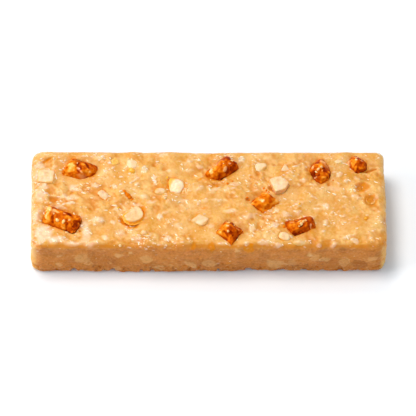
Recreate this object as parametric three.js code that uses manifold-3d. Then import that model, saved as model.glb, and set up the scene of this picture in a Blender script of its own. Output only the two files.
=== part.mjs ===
// A protein bar: a pressed slab of nutty dough with pretzel pieces and chopped nuts set into its top.
// Millimetres. X runs along the bar, Y across it, away from the viewer, and Z up. The origin is the
// middle of the underside.
import * as THREE from "three";
import { mergeVertices } from "three/addons/utils/BufferGeometryUtils.js";
import Module from "manifold-3d";

const wasm = await Module();
wasm.setup();

// Driving dimensions of the slab
const LENGTH = 142;
const WIDTH = 45;
const HEIGHT = 20;
const FRONT_CORNER = 4.5; // radius of the two upright corners at the front
const BACK_CORNER = 3.2; // and of the two at the back, which are tighter
const TOP_RADIUS = 3; // of the soft edge round the top
const FOOT_RADIUS = 1.5; // of the tighter edge round the underside
const FOOT_FLARE = 0.5; // how far the sides lean out from top to underside

// The mesh of the slab
const CELLS = [56, 19, 6]; // along X, Y and Z
const EDGE_CELLS = 2; // of those, the ones that round each top edge
const FOOT_CELLS = 2; // and the ones that round the foot

// Relief of the pressed dough: [size of a swell, height]
const SLUMP = [17, 0.5];
const LUMPS = [5, 0.6];
const SIDE_SHARE = 0.45; // the cut sides are flatter than the top
const DIP = { depth: 0.7, reach: 2.2 }; // the dough sinks a little round each large piece

const GAP = 0.3; // clear space between a set-in piece and its pocket
const BIT_CLEARANCE = 0.9; // between the fused nut bits and the set-in pieces

// Pretzel pieces: place in plan, size along, across and up, turn in plan, how far they stand proud,
// and the flat faces where they broke, as [azimuth, elevation, share of the half size kept].
// `round` is the roundness of the cross-section and `ends` that of the two ends: 2 is round, 8 square.
const PRETZEL_PIECES = [
  { at: [-51.9, 13.6], size: [13.8, 8.6, 7.6], turn: -17, proud: 2.3, round: 3, ends: 7,
    cuts: [[165, 25, 0.86], [-60, 40, 0.86], [80, 55, 0.92]] },
  { at: [-58.1, -9.6], size: [16.4, 8.2, 7.4], turn: -22, proud: 2.7, round: 2.3, ends: 8,
    cuts: [[-14, 12, 0.94], [24, -8, 0.94], [180, 10, 0.97]] },
  { at: [5.6, 12.9], size: [14.2, 8.4, 8.0], turn: 44, proud: 2.9, round: 2.3, ends: 5,
    cuts: [[-96, 34, 0.76], [-155, 14, 0.72], [4, 20, 0.92]] },
  { at: [45.0, 12.8], size: [10.4, 9.4, 7.6], turn: -44, proud: 2.6, round: 3, ends: 3.6,
    cuts: [[-120, 30, 0.8], [60, 34, 0.82], [180, 28, 0.86]] },
  { at: [59.9, 15.6], size: [9.8, 7.2, 6.8], turn: -30, proud: 2.1, round: 2.6, ends: 3.4,
    cuts: [[-112, 30, 0.76], [172, 35, 0.84], [30, 25, 0.9], [-30, 8, 0.84]] },
  { at: [22.7, -1.9], size: [10.4, 9.0, 7.4], turn: 39, proud: 2.2, round: 3.6, ends: 6,
    cuts: [[-90, 38, 0.8], [96, 50, 0.84], [190, 22, 0.88], [6, 26, 0.86]] },
  { at: [8.5, -15.3], size: [9.8, 9.4, 7.4], turn: -40, proud: 2.5, round: 6, ends: 6,
    cuts: [[-86, 42, 0.82], [94, 42, 0.82], [184, 40, 0.84], [6, 32, 0.84]] },
  { at: [36.5, -13.0], size: [12.8, 8.2, 7.4], turn: 14, proud: 2.4, round: 3, ends: 5,
    cuts: [[-78, 30, 0.82], [176, 30, 0.88], [92, 48, 0.8], [-150, 6, 0.78]] },
];

// Chopped nuts, given in the same way. `tilt` is about their own long axis.
const NUT_PIECES = [
  { name: "nut_slab_left", at: [-65.2, 10.0], size: [7.2, 6.6, 3.2], turn: -5, tilt: 2, proud: 0.6,
    round: 7, ends: 7, cuts: [] },
  { name: "peanut_half", at: [-29.8, -7.8], size: [9.8, 9.2, 6.0], turn: 24, tilt: -4, proud: 1.5,
    round: 2.2, ends: 2.2, cuts: [[0, 90, 0.45], [104, 0, 0.56]] },
  { name: "peanut_tip", at: [-13.3, 5.8], size: [8.2, 7.4, 5.4], turn: -18, tilt: 5, proud: 1.5,
    round: 2.8, ends: 2.8, cuts: [[0, 86, 0.6], [-152, 0, 0.62]] },
  { name: "nut_flake_middle", at: [-19.3, 3.0], size: [6.2, 3.6, 2.4], turn: 6, tilt: 6, proud: 0.45,
    round: 3, ends: 2, cuts: [[150, 0, 0.7], [-150, 0, 0.7]] },
  { name: "nut_cube", at: [28.9, 6.0], size: [7.2, 7.4, 4.6], turn: 21, tilt: -5, proud: 1.6,
    round: 10, ends: 10, cuts: [[40, 0, 0.74], [-50, 0, 0.9], [180, 0, 0.96]] },
  { name: "nut_dome_back", at: [-30.6, 15.8], size: [5.6, 5.4, 3.4], turn: 12, tilt: 3, proud: 0.7,
    round: 2.8, ends: 2.8, cuts: [[0, 82, 0.7]] },
  { name: "nut_chip_left", at: [-42.0, 1.8], size: [4.9, 4.4, 3.2], turn: -28, tilt: 12, proud: 0.8,
    round: 4, ends: 4, cuts: [[60, 30, 0.7], [-120, 10, 0.8]] },
  { name: "nut_slab_back", at: [21.2, 14.4], size: [5.8, 4.8, 2.6], turn: 8, tilt: -2, proud: 0.4,
    round: 5, ends: 5, cuts: [[-50, 0, 0.72]] },
  { name: "nut_wedge_back", at: [31.0, 14.8], size: [4.4, 4.8, 2.8], turn: 4, tilt: 4, proud: 0.6,
    round: 5, ends: 5, cuts: [[150, 0, 0.35], [35, 0, 0.35]] },
  { name: "nut_sliver_back", at: [52.6, 16.8], size: [5.4, 3.2, 2.4], turn: 16, tilt: 3, proud: 0.5,
    round: 3.5, ends: 3, cuts: [[-160, 0, 0.6]] },
  { name: "nut_wedge_front", at: [-3.5, -9.9], size: [7.8, 5.2, 3.2], turn: -28, tilt: 6, proud: 0.7,
    round: 6, ends: 4, cuts: [[160, 20, 0.6], [-30, 0, 0.86]] },
  { name: "nut_chip_front", at: [30.3, -17.4], size: [5.0, 3.8, 3.0], turn: -12, tilt: 8, proud: 0.6,
    round: 3, ends: 3, cuts: [[0, 75, 0.75]] },
  { name: "nut_flake_front", at: [36.5, -20.0], size: [6.4, 2.8, 2.4], turn: -4, tilt: 10, proud: 0.5,
    round: 2.6, ends: 2.6, cuts: [[0, 80, 0.8]] },
  { name: "nut_bead_front", at: [-25.5, -15.6], size: [3.5, 3.4, 2.8], turn: 0, tilt: 0, proud: 0.8,
    round: 2.2, ends: 2.2, cuts: [] },
];

// Toasted nut bits, darker, set low in their dents
const TOASTED_BITS = [
  { at: [61.9, 5.2], size: [5.8, 3.6, 3.0], turn: 14, tilt: 4, proud: 0.3, round: 2.6, ends: 2.6,
    cuts: [[0, 80, 0.7]] },
  { at: [65.2, -0.4], size: [4.6, 4.2, 2.8], turn: -20, tilt: 3, proud: 0.3, round: 2.6, ends: 2.6,
    cuts: [[0, 85, 0.7]] },
  { at: [-38.0, 17.2], size: [5.2, 4.2, 2.8], turn: 10, tilt: -4, proud: 0.4, round: 4, ends: 4,
    cuts: [[0, 80, 0.8]] },
];

// Small nut bits fused to the slab, one in each square of a loose grid: the squares' size, the share
// of them that hold a bit, the smallest and largest bit, and how far a bit stands out
const BITS = {
  top: { square: 6.3, share: 0.66, size: [2.8, 4.6], proud: [0.45, 0.85], seed: 11 },
  sides: { square: 6.6, share: 0.34, size: [2.8, 5.6], proud: [0.15, 0.3], seed: 23 },
};

const BIT_WIDTH = 0.7; // of a bit, as a share of its length
const BIT_HEIGHT = 0.6;

const UP = new THREE.Vector3(0, 0, 1);
const PIECE_CELLS = 4; // mesh cells across a pretzel piece
const NUT_CELLS = 3; // and across a nut piece
const PIECE_ROUGHNESS = 0.06; // unevenness of a pretzel piece, as a share of its size
const NUT_ROUGHNESS = 0.03;

const material = (color, roughness) => {
  return new THREE.MeshStandardMaterial({ color, roughness, metalness: 0 });
};
const DOUGH = material(0xe2ab68, 0.5);
const PRETZEL = material(0xb4550f, 0.3);
const NUT = material(0xf4dba6, 0.55);
const TOASTED = material(0xd08a2c, 0.35);

/** A repeatable number from 0 to 1 for a lattice point. */
function hash(i, j, k, seed) {
  const s = Math.sin(i * 127.1 + j * 311.7 + k * 74.7 + seed * 53.9) * 43758.5453;
  return s - Math.floor(s);
}

/** Smooth noise from -1 to 1, with swells about one unit wide. */
function noise(x, y, z, seed) {
  const cell = [x, y, z].map(Math.floor);
  const [u, v, w] = [x, y, z].map((c, axis) => THREE.MathUtils.smootherstep(c - cell[axis], 0, 1));
  let sum = 0;
  for (let corner = 0; corner < 8; corner++) {
    const [a, b, c] = [corner & 1, (corner >> 1) & 1, corner >> 2];
    const weight = (a ? u : 1 - u) * (b ? v : 1 - v) * (c ? w : 1 - w);
    sum += weight * hash(cell[0] + a, cell[1] + b, cell[2] + c, seed);
  }
  return 2 * sum - 1;
}

/** The slab's unevenness at a point, outwards. `share` scales the small lumps. */
function unevenness(p, share) {
  const [swell, height] = SLUMP;
  const [lump, lumpHeight] = LUMPS;
  return (
    height * noise(p.x / swell, p.y / swell, p.z / swell, 1) +
    share * lumpHeight * noise(p.x / lump, p.y / lump, p.z / lump, 2)
  );
}

/** How far the top sinks near the large pieces. */
function dip(x, y) {
  let deepest = 0;
  for (const { at, size, turn } of PRETZEL_PIECES) {
    const along = THREE.MathUtils.degToRad(turn);
    const [dx, dy] = [x - at[0], y - at[1]];
    const u = dx * Math.cos(along) + dy * Math.sin(along);
    const v = dy * Math.cos(along) - dx * Math.sin(along);
    const beyond = Math.hypot(u / (size[0] / 2), v / (size[1] / 2)) - 1;
    const away = Math.max(0, beyond * (size[1] / 2)) / DIP.reach;
    deepest = Math.max(deepest, DIP.depth * Math.exp(-away * away));
  }
  return deepest;
}

/** Where grid line `index` of the top lies in plan: spaced evenly, but for those of the soft edge. */
function planLine(index, cells, half) {
  const flat = half - TOP_RADIUS;
  const fromEnd = Math.min(index, cells - index);
  if (fromEnd >= EDGE_CELLS) {
    return -flat + (2 * flat * (index - EDGE_CELLS)) / (cells - 2 * EDGE_CELLS);
  }
  const side = index < cells / 2 ? -1 : 1;
  return side * (flat + edgeLine(EDGE_CELLS - fromEnd));
}

/** How far edge line `index` lies beyond the flat, so that the lines round the edge by equal angles. */
function edgeLine(index) {
  return TOP_RADIUS * Math.tan((index / EDGE_CELLS) * (Math.PI / 4));
}

/** Rounds a point of the sharp slab: its place, the way it faces in plan and how far it faces up. */
function rounded(q) {
  const corner = q.y < 0 ? FRONT_CORNER : BACK_CORNER;
  const inner = new THREE.Vector2(
    THREE.MathUtils.clamp(q.x, corner - LENGTH / 2, LENGTH / 2 - corner),
    THREE.MathUtils.clamp(q.y, corner - WIDTH / 2, WIDTH / 2 - corner),
  );
  const out = new THREE.Vector2(q.x, q.y).sub(inner);
  const reach = Math.max(Math.abs(out.x), Math.abs(out.y));
  const facing = reach > 0 ? out.clone().normalize() : new THREE.Vector2();
  let inset = corner - reach;
  let depth = HEIGHT - q.z;
  let up = depth < 1e-6 ? 1 : 0;
  if (inset < TOP_RADIUS && depth < TOP_RADIUS) {
    const round = new THREE.Vector2(TOP_RADIUS - inset, TOP_RADIUS - depth).normalize();
    inset = TOP_RADIUS * (1 - round.x);
    depth = TOP_RADIUS * (1 - round.y);
    up = round.y;
  } else if (q.z < FOOT_RADIUS) {
    const angle = (1 - q.z / FOOT_RADIUS) * (Math.PI / 2);
    inset = FOOT_RADIUS * (1 - Math.cos(angle));
    depth = HEIGHT - FOOT_RADIUS * (1 - Math.sin(angle));
  }
  const place = inner.add(facing.clone().multiplyScalar(corner - inset));
  return { place: new THREE.Vector3(place.x, place.y, HEIGHT - depth), facing, up };
}

/** The bare slab: a gridded box, rounded, leaning out to its foot and pressed uneven, on a flat foot. */
function slabGeometry() {
  const box = new THREE.BoxGeometry(2, 2, 2, ...CELLS);
  const foot = box.groups.at(-1); // the face that looks down, closed by one flat cap instead
  const position = box.attributes.position;
  const half = [LENGTH / 2, WIDTH / 2];
  for (let i = 0; i < position.count; i++) {
    const line = CELLS.map((cells, axis) => Math.round(((position.getComponent(i, axis) + 1) / 2) * cells));
    const [x, y] = half.map((h, axis) => planLine(line[axis], CELLS[axis], h));
    const q = new THREE.Vector3(x, y, heightLine(line[2]));
    const { place, facing, up } = rounded(q);
    const sunk = dip(place.x, place.y) * up;
    const outward = unevenness(place, SIDE_SHARE) * (1 - up) + FOOT_FLARE * (1 - place.z / HEIGHT);
    const upward = unevenness(place, 1) * up - sunk;
    position.setXYZ(i, place.x + facing.x * outward, place.y + facing.y * outward, place.z + upward);
  }
  box.setIndex(Array.from(box.index.array).slice(0, foot.start));
  return withFoot(box);
}

/** Height of the grid line `index` of the sides: close together in the foot and the top edge. */
function heightLine(index) {
  const top = CELLS[2] - EDGE_CELLS;
  if (index <= FOOT_CELLS) return (FOOT_RADIUS * index) / FOOT_CELLS;
  if (index < top) {
    const share = (index - FOOT_CELLS) / (top - FOOT_CELLS);
    return THREE.MathUtils.lerp(FOOT_RADIUS, HEIGHT - TOP_RADIUS, share);
  }
  return HEIGHT - TOP_RADIUS + edgeLine(index - top);
}

/** Closes an open-bottomed shell whose lowest ring lies in the plane z = 0. */
function withFoot(shell) {
  const merged = onlyPositions(shell);
  const position = merged.attributes.position;
  const ring = [];
  for (let i = 0; i < position.count; i++) {
    if (Math.abs(position.getZ(i)) < 1e-6) ring.push(i);
  }
  const bearing = (i) => Math.atan2(position.getY(i), position.getX(i));
  ring.sort((a, b) => bearing(a) - bearing(b));
  const outline = ring.map((i) => new THREE.Vector2(position.getX(i), position.getY(i)));
  const cap = THREE.ShapeUtils.triangulateShape(outline, []);
  const index = Array.from(merged.index.array);
  for (const [a, b, c] of cap) index.push(ring[c], ring[b], ring[a]);
  merged.setIndex(index);
  return merged;
}

/** Keeps a geometry's positions alone and merges those that coincide. */
function onlyPositions(geometry) {
  const bare = geometry.clone();
  bare.deleteAttribute("normal");
  bare.deleteAttribute("uv");
  return mergeVertices(bare, 1e-4);
}

/** A lump of the given size, uneven, with flat broken faces. `grow` swells it all round. */
function lumpGeometry({ size, round, ends, cuts, seed }, cells, roughness, grow = 0) {
  const lengthCells = Math.max(cells, Math.round((cells * 0.85 * size[0]) / size[1]));
  const box = onlyPositions(new THREE.BoxGeometry(2, 2, 2, lengthCells, cells, cells - 1));
  const position = box.attributes.position;
  const p = new THREE.Vector3();
  for (let i = 0; i < position.count; i++) {
    p.fromBufferAttribute(position, i);
    const section = (Math.abs(p.y) ** round + Math.abs(p.z) ** round) ** (1 / round);
    p.divideScalar((section ** ends + Math.abs(p.x) ** ends) ** (1 / ends));
    const rough = 1 + roughness * noise(p.x * 2.5, p.y * 2.5, p.z * 2.5, seed);
    p.multiplyScalar(rough).multiply(new THREE.Vector3(...size).multiplyScalar(0.5).addScalar(grow));
    for (const [azimuth, elevation, share] of cuts) cutBack(p, azimuth, elevation, share, size, grow);
    position.setXYZ(i, p.x, p.y, p.z);
  }
  return box;
}

/** Brings a point back to the plane of a broken face if it lies beyond it. */
function cutBack(p, azimuth, elevation, share, size, grow) {
  const normal = new THREE.Vector3().setFromSphericalCoords(
    1,
    THREE.MathUtils.degToRad(90 - elevation),
    THREE.MathUtils.degToRad(azimuth),
  );
  const facing = new THREE.Vector3(normal.z, normal.x, normal.y); // azimuth from X towards Y, elevation up
  const reach = Math.hypot(facing.x * size[0], facing.y * size[1], facing.z * size[2]) / 2;
  const beyond = p.dot(facing) - (share * reach + grow);
  if (beyond > 0) p.addScaledVector(facing, -beyond);
}

/** Where a set-in piece lies: its turn, its tilt, and a height that leaves `proud` above the dough. */
function placing({ at, turn, tilt = 0, proud }, top) {
  const [turnAngle, tiltAngle] = [turn, tilt].map(THREE.MathUtils.degToRad);
  const z = HEIGHT + unevenness(new THREE.Vector3(...at, HEIGHT), 1) + proud - top;
  return new THREE.Matrix4()
    .makeTranslation(...at, z)
    .multiply(new THREE.Matrix4().makeRotationZ(turnAngle))
    .multiply(new THREE.Matrix4().makeRotationX(tiltAngle));
}

/** A geometry as a solid that can be joined and cut. */
function solidOf(geometry) {
  return new wasm.Manifold(
    new wasm.Mesh({
      numProp: 3,
      vertProperties: new Float32Array(geometry.attributes.position.array),
      triVerts: new Uint32Array(geometry.index.array),
    }),
  );
}

/** The geometry of a solid after joining and cutting. */
function geometryOf(solid) {
  const mesh = solid.getMesh();
  return new THREE.BufferGeometry()
    .setAttribute("position", new THREE.BufferAttribute(new Float32Array(mesh.vertProperties), 3))
    .setIndex(new THREE.BufferAttribute(new Uint32Array(mesh.triVerts), 1));
}

/** A small uneven nut bit, facing up: a grain with twenty sides, or a `sliced` one with a flat face. */
function bitGeometry(length, seed, sliced) {
  const whole = () => new THREE.IcosahedronGeometry(0.5, 0);
  const slice = () => new THREE.CylinderGeometry(0.42, 0.5, 0.5, 6).rotateX(Math.PI / 2);
  const bit = onlyPositions(sliced ? slice() : whole());
  const position = bit.attributes.position;
  for (let i = 0; i < position.count; i++) {
    const rough = length * THREE.MathUtils.lerp(0.8, 1.1, hash(i, 0, 0, seed));
    const height = sliced ? length : rough;
    const [x, y, z] = [position.getX(i), position.getY(i), position.getZ(i)];
    position.setXYZ(i, x * rough, y * rough * BIT_WIDTH, z * height * BIT_HEIGHT);
  }
  return bit;
}

/** Whether a point of the top is clear of every set-in piece. */
function clearOfPieces(x, y, bitLength) {
  return [...PRETZEL_PIECES, ...NUT_PIECES, ...TOASTED_BITS].every(({ at, size }) => {
    return Math.hypot(x - at[0], y - at[1]) > size[0] / 2 + bitLength / 2 + BIT_CLEARANCE;
  });
}

/** One bit for each chosen square of a loose grid over a face, as {u, v, length, proud, turn, seed}. */
function scatter({ square, share, size, proud, seed }, width, height) {
  const bits = [];
  const [columns, rows] = [Math.floor(width / square), Math.max(1, Math.floor(height / square))];
  for (let i = 0; i < columns; i++) {
    for (let j = 0; j < rows; j++) {
      const draw = (k) => hash(i, j, k, seed);
      if (draw(0) > share) continue;
      const [u, v] = [
        (i + 0.5 + 0.6 * (draw(1) - 0.5)) * (width / columns) - width / 2,
        (j + 0.5 + 0.6 * (draw(2) - 0.5)) * (height / rows) - height / 2,
      ];
      const length = THREE.MathUtils.lerp(...size, draw(3));
      const out = THREE.MathUtils.lerp(...proud, draw(4));
      bits.push({ u, v, length, proud: out, turn: draw(5) * Math.PI, seed: seed + i * 7 + j });
    }
  }
  return bits;
}

/** The bits that show on the top and the four sides, each as a solid half sunk in its face. */
function fusedBits() {
  const flatLength = LENGTH - 2 * FRONT_CORNER;
  const flatWidth = WIDTH - 2 * FRONT_CORNER;
  const sideHeight = HEIGHT - TOP_RADIUS - FOOT_RADIUS;
  const midHeight = FOOT_RADIUS + sideHeight / 2;
  const solids = [];
  const set = (bit, x, y, z, outward) => {
    const grain = bitGeometry(bit.length, bit.seed, outward !== UP);
    grain.computeBoundingBox();
    const face = new THREE.Quaternion().setFromUnitVectors(UP, outward);
    face.multiply(new THREE.Quaternion().setFromAxisAngle(UP, bit.turn));
    const sunk = outward.clone().multiplyScalar(bit.proud - grain.boundingBox.max.z);
    const place = new THREE.Vector3(x, y, z).add(sunk);
    const matrix = new THREE.Matrix4().compose(place, face, new THREE.Vector3(1, 1, 1));
    solids.push(solidOf(grain.applyMatrix4(matrix)));
  };
  for (const bit of scatter(BITS.top, flatLength, flatWidth)) {
    if (!clearOfPieces(bit.u, bit.v, bit.length)) continue;
    const p = new THREE.Vector3(bit.u, bit.v, HEIGHT);
    set(bit, p.x, p.y, HEIGHT + unevenness(p, 1) - dip(p.x, p.y), UP);
  }
  for (const side of [-1, 1]) {
    const sideBits = (seed) => ({ ...BITS.sides, seed: BITS.sides.seed + seed * side });
    for (const bit of scatter(sideBits(3), flatLength, sideHeight)) {
      const p = new THREE.Vector3(bit.u, (side * WIDTH) / 2, midHeight + bit.v);
      const out = unevenness(p, SIDE_SHARE) + FOOT_FLARE * (1 - p.z / HEIGHT);
      set(bit, p.x, p.y + side * out, p.z, new THREE.Vector3(0, side, 0));
    }
    for (const bit of scatter(sideBits(5), flatWidth, sideHeight)) {
      const p = new THREE.Vector3((side * LENGTH) / 2, bit.u, midHeight + bit.v);
      const out = unevenness(p, SIDE_SHARE) + FOOT_FLARE * (1 - p.z / HEIGHT);
      set(bit, p.x + side * out, p.y, p.z, new THREE.Vector3(side, 0, 0));
    }
  }
  return solids;
}

const group = new THREE.Group();
const pockets = [];

/** Adds one set-in piece and keeps the pocket that it needs. */
function setIn(name, piece, cells, roughness, look) {
  const lump = lumpGeometry(piece, cells, roughness);
  lump.computeBoundingBox();
  const matrix = placing(piece, lump.boundingBox.max.z);
  const mesh = new THREE.Mesh(lump, look);
  mesh.name = name;
  mesh.applyMatrix4(matrix);
  group.add(mesh);
  pockets.push(solidOf(lumpGeometry(piece, cells, roughness, GAP).applyMatrix4(matrix)));
}

PRETZEL_PIECES.forEach((piece, i) => {
  setIn(`pretzel_piece_${i + 1}`, { ...piece, seed: 31 + i }, PIECE_CELLS, PIECE_ROUGHNESS, PRETZEL);
});
NUT_PIECES.forEach((piece, i) => {
  setIn(piece.name, { ...piece, seed: 61 + i }, NUT_CELLS, NUT_ROUGHNESS, NUT);
});
TOASTED_BITS.forEach((piece, i) => {
  setIn(`toasted_bit_${i + 1}`, { ...piece, seed: 91 + i }, NUT_CELLS, NUT_ROUGHNESS, TOASTED);
});

let slab = solidOf(slabGeometry());
const bits = fusedBits();
for (const bit of bits) slab = slab.add(bit);
for (const pocket of pockets) slab = slab.subtract(pocket);
const slabMesh = new THREE.Mesh(geometryOf(slab), DOUGH);
slabMesh.name = "dough_slab";
group.add(slabMesh);

// The origin is the middle of the underside, whatever the unevenness of the sides
const box = new THREE.Box3().setFromObject(group, true);
const middle = box.getCenter(new THREE.Vector3());
group.position.set(-middle.x, -middle.y, -box.min.z);

export default group;
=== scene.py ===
"""A protein bar: a pressed slab of nutty dough with glazed pretzel pieces and chopped nuts in its top."""

import logging
import math
from collections.abc import Callable
from dataclasses import dataclass
from enum import Enum

import bmesh
import bpy
import numpy as np
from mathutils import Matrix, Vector
from mathutils.bvhtree import BVHTree
from mathutils.geometry import delaunay_2d_cdt


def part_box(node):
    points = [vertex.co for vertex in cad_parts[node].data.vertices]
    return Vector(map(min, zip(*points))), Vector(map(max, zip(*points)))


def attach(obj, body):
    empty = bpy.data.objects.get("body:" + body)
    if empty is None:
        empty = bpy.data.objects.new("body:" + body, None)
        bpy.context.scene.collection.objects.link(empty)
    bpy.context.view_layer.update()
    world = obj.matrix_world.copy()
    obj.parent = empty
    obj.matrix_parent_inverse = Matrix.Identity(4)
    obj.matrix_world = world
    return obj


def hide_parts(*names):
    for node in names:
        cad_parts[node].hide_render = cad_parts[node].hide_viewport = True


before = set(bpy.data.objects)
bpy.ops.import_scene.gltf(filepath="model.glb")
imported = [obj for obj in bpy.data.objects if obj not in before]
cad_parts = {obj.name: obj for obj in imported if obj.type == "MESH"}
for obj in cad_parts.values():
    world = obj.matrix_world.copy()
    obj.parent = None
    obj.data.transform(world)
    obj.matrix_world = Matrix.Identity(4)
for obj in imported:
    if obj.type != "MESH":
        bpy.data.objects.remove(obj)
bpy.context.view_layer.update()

LOG = logging.getLogger("protein_bar")
Array = np.ndarray
Material = bpy.types.Material
Mesh = bpy.types.Mesh
Object = bpy.types.Object
Socket = bpy.types.NodeSocket
Vector3 = tuple[float, float, float]
MM = 0.001
BODY = "root"
HASH_STEPS = (127.1, 311.7, 74.7, 53.9)
HASH_GAIN = 43758.5453
LUMP_SLOPE = 7  # how steeply a packed lump falls off
LUMP_TOP = 1.2  # where close lumps stop adding up
UP = np.array([0, 0, 1])


# ---------------------------------------------------------------- shared helpers


def linear(code: str) -> tuple[float, float, float, float]:
    """Turns a colour from sRGB to linear.

    Args:
        code: six hex digits.

    Returns:
        Linear red, green, blue and an alpha of one.
    """
    channels = [int(code[i : i + 2], 16) / 255 for i in (0, 2, 4)]
    light = [c / 12.92 if c <= 0.04045 else ((c + 0.055) / 1.055) ** 2.4 for c in channels]
    return (*light, 1.0)


def hash01(i: Array, j: Array, k: Array, seed: float) -> Array:
    """Gives a repeatable number from 0 to 1 for each lattice point.

    Args:
        i: lattice steps along X.
        j: lattice steps along Y.
        k: lattice steps along Z.
        seed: picks one of many such patterns.

    Returns:
        One number for each point.
    """
    a, b, c, d = HASH_STEPS
    wave = np.sin(i * a + j * b + k * c + seed * d) * HASH_GAIN
    return wave - np.floor(wave)


def noise(points: Array, size: float, seed: float) -> Array:
    """Smooth unevenness from -1 to 1.

    Args:
        points: places, in millimetres.
        size: the width of a swell, in millimetres.
        seed: picks one of many such patterns.

    Returns:
        One value for each point.
    """
    scaled = points / size
    cell = np.floor(scaled)
    share = scaled - cell
    share = share**3 * (share * (share * 6 - 15) + 10)
    total = np.zeros(len(points))
    for corner in range(8):
        step = np.array([corner & 1, (corner >> 1) & 1, corner >> 2])
        weight = np.prod(np.where(step, share, 1 - share), axis=1)
        total += weight * hash01(*(cell + step).T, seed)
    return 2 * total - 1


def layers(points: Array, *kinds: tuple[Array | float, float, float]) -> Array:
    """Adds up layers of noise, each with its height, the width of its swells and its seed."""
    return sum(height * noise(points, size, seed) for height, size, seed in kinds)


def packed_lumps(plan: Array, size: float, seed: float) -> Array:
    """Rounded lumps packed side by side, as seen from above.

    Args:
        plan: places in plan, in millimetres.
        size: how far apart the lumps lie, in millimetres.
        seed: picks one of many such patterns.

    Returns:
        How high on its lump each place lies, from about -1 in the low between lumps to 1 at a middle.
    """
    scaled = plan / size
    cell = np.floor(scaled)
    total = np.zeros(len(plan))
    for step in np.ndindex(3, 3):
        corner = cell + np.array(step) - 1
        offsets = [hash01(corner[:, 0], corner[:, 1], np.float64(axis), seed) for axis in (1, 2)]
        away = ((scaled - corner - np.stack(offsets, axis=1)) ** 2).sum(axis=1)
        total += np.exp(-LUMP_SLOPE * away)
    return 2 * np.minimum(total, LUMP_TOP) / LUMP_TOP - 1


def ramp(low: float, high: float, value: Array) -> Array:
    """Smooth step from 0 at `low` to 1 at `high`, which may run either way."""
    share = np.clip((value - low) / (high - low), 0, 1)
    return share * share * (3 - 2 * share)


def in_oval(dx: Array, dy: Array, length: float, width: float, turn: float) -> tuple[Array, Array]:
    """Gives places in a turned oval.

    Args:
        dx: distances from its middle along X, in millimetres.
        dy: distances along Y.
        length: its length.
        width: its width.
        turn: how far it is turned, in degrees.

    Returns:
        The places along it and across it, as shares of half its length and half its width.
    """
    angle = math.radians(turn)
    u = (dx * math.cos(angle) + dy * math.sin(angle)) / (length / 2)
    v = (dy * math.cos(angle) - dx * math.sin(angle)) / (width / 2)
    return u, v


def box_shares(places: Array) -> Array:
    """Places as shares of half the size of the box round them, from -1 to 1."""
    low, high = places.min(axis=0), places.max(axis=0)
    return (places - (low + high) / 2) / ((high - low) / 2)


def height_shares(places: Array) -> Array:
    """Heights as shares of the whole height, from 0 to 1."""
    return (places[:, 2] - places[:, 2].min()) / np.ptp(places[:, 2])


def add_node(
    tree: bpy.types.NodeTree, kind: str, links: dict | None = None, **settings: object
) -> bpy.types.Node:
    """Adds a node with its settings and links.

    Args:
        tree: the shader or geometry tree.
        kind: the node's type.
        links: for each input, by name or number, the socket or value that it takes.
        settings: the node's own properties.

    Returns:
        The new node.
    """
    node = tree.nodes.new(kind)
    for name, value in settings.items():
        setattr(node, name, value)
    join(tree, node, links or {})
    return node


def join(tree: bpy.types.NodeTree, node: bpy.types.Node, links: dict) -> None:
    """Gives a node's inputs their sockets or values.

    Args:
        tree: the shader or geometry tree.
        node: the node.
        links: for each input, by name or number, the socket or value that it takes.
    """
    for key, value in links.items():
        if isinstance(value, Socket):
            tree.links.new(value, node.inputs[key])
        else:
            node.inputs[key].default_value = value


def linked_object(name: str, data: bpy.types.ID) -> Object:
    """Makes an object of the data and links it to the scene.

    Args:
        name: the object's name.
        data: its mesh, light or camera.

    Returns:
        The object.
    """
    made = bpy.data.objects.new(name, data)
    bpy.context.scene.collection.objects.link(made)
    return made


def mesh_object(name: str, points: Array, faces: list) -> Object:
    """Makes an object from points in millimetres.

    Args:
        name: the object's name.
        points: one row for each vertex.
        faces: vertex numbers of each face, or none for bare points.

    Returns:
        The object, shaded smooth and lying at the origin.
    """
    mesh = bpy.data.meshes.new(name)
    mesh.from_pydata((points * MM).tolist(), [], faces)
    mesh.polygons.foreach_set("use_smooth", [True] * len(mesh.polygons))
    return linked_object(name, mesh)


def evaluated_copy(piece: Object) -> Mesh:
    """Makes a plain mesh of what an object's modifiers make, and removes the object.

    Args:
        piece: the object.

    Returns:
        The new mesh.
    """
    bpy.context.view_layer.update()
    graph = bpy.context.evaluated_depsgraph_get()
    mesh = bpy.data.meshes.new_from_object(piece.evaluated_get(graph))
    bpy.data.objects.remove(piece)
    return mesh


def set_field(mesh: Mesh, name: str, values: Array) -> None:
    """Stores one number for each vertex, for the materials and node trees to read."""
    field = mesh.attributes.new(name, "FLOAT", "POINT")
    field.data.foreach_set("value", values.astype(np.float32))


def numbers(items: bpy.types.bpy_prop_collection, name: str, width: int) -> Array:
    """Reads a row of numbers from each item of a mesh.

    Args:
        items: its vertices, say.
        name: what to read of each.
        width: how many numbers that is.

    Returns:
        One row for each item.
    """
    flat = np.empty(len(items) * width, np.float32)
    items.foreach_get(name, flat)
    return flat.reshape(-1, width).astype(float)


def vertex_places(mesh: Mesh) -> Array:
    """Vertex places of a mesh, in millimetres."""
    return numbers(mesh.vertices, "co", 3) / MM


def vertex_normals(mesh: Mesh) -> Array:
    """Vertex normals of a mesh."""
    return numbers(mesh.vertices, "normal", 3)


def edge_ends(mesh: Mesh) -> Array:
    """Vertex numbers of each edge of a mesh.

    Args:
        mesh: the mesh.

    Returns:
        One row of two for each edge.
    """
    flat = np.empty(len(mesh.edges) * 2, np.int32)
    mesh.edges.foreach_get("vertices", flat)
    return flat.reshape(-1, 2)


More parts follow.
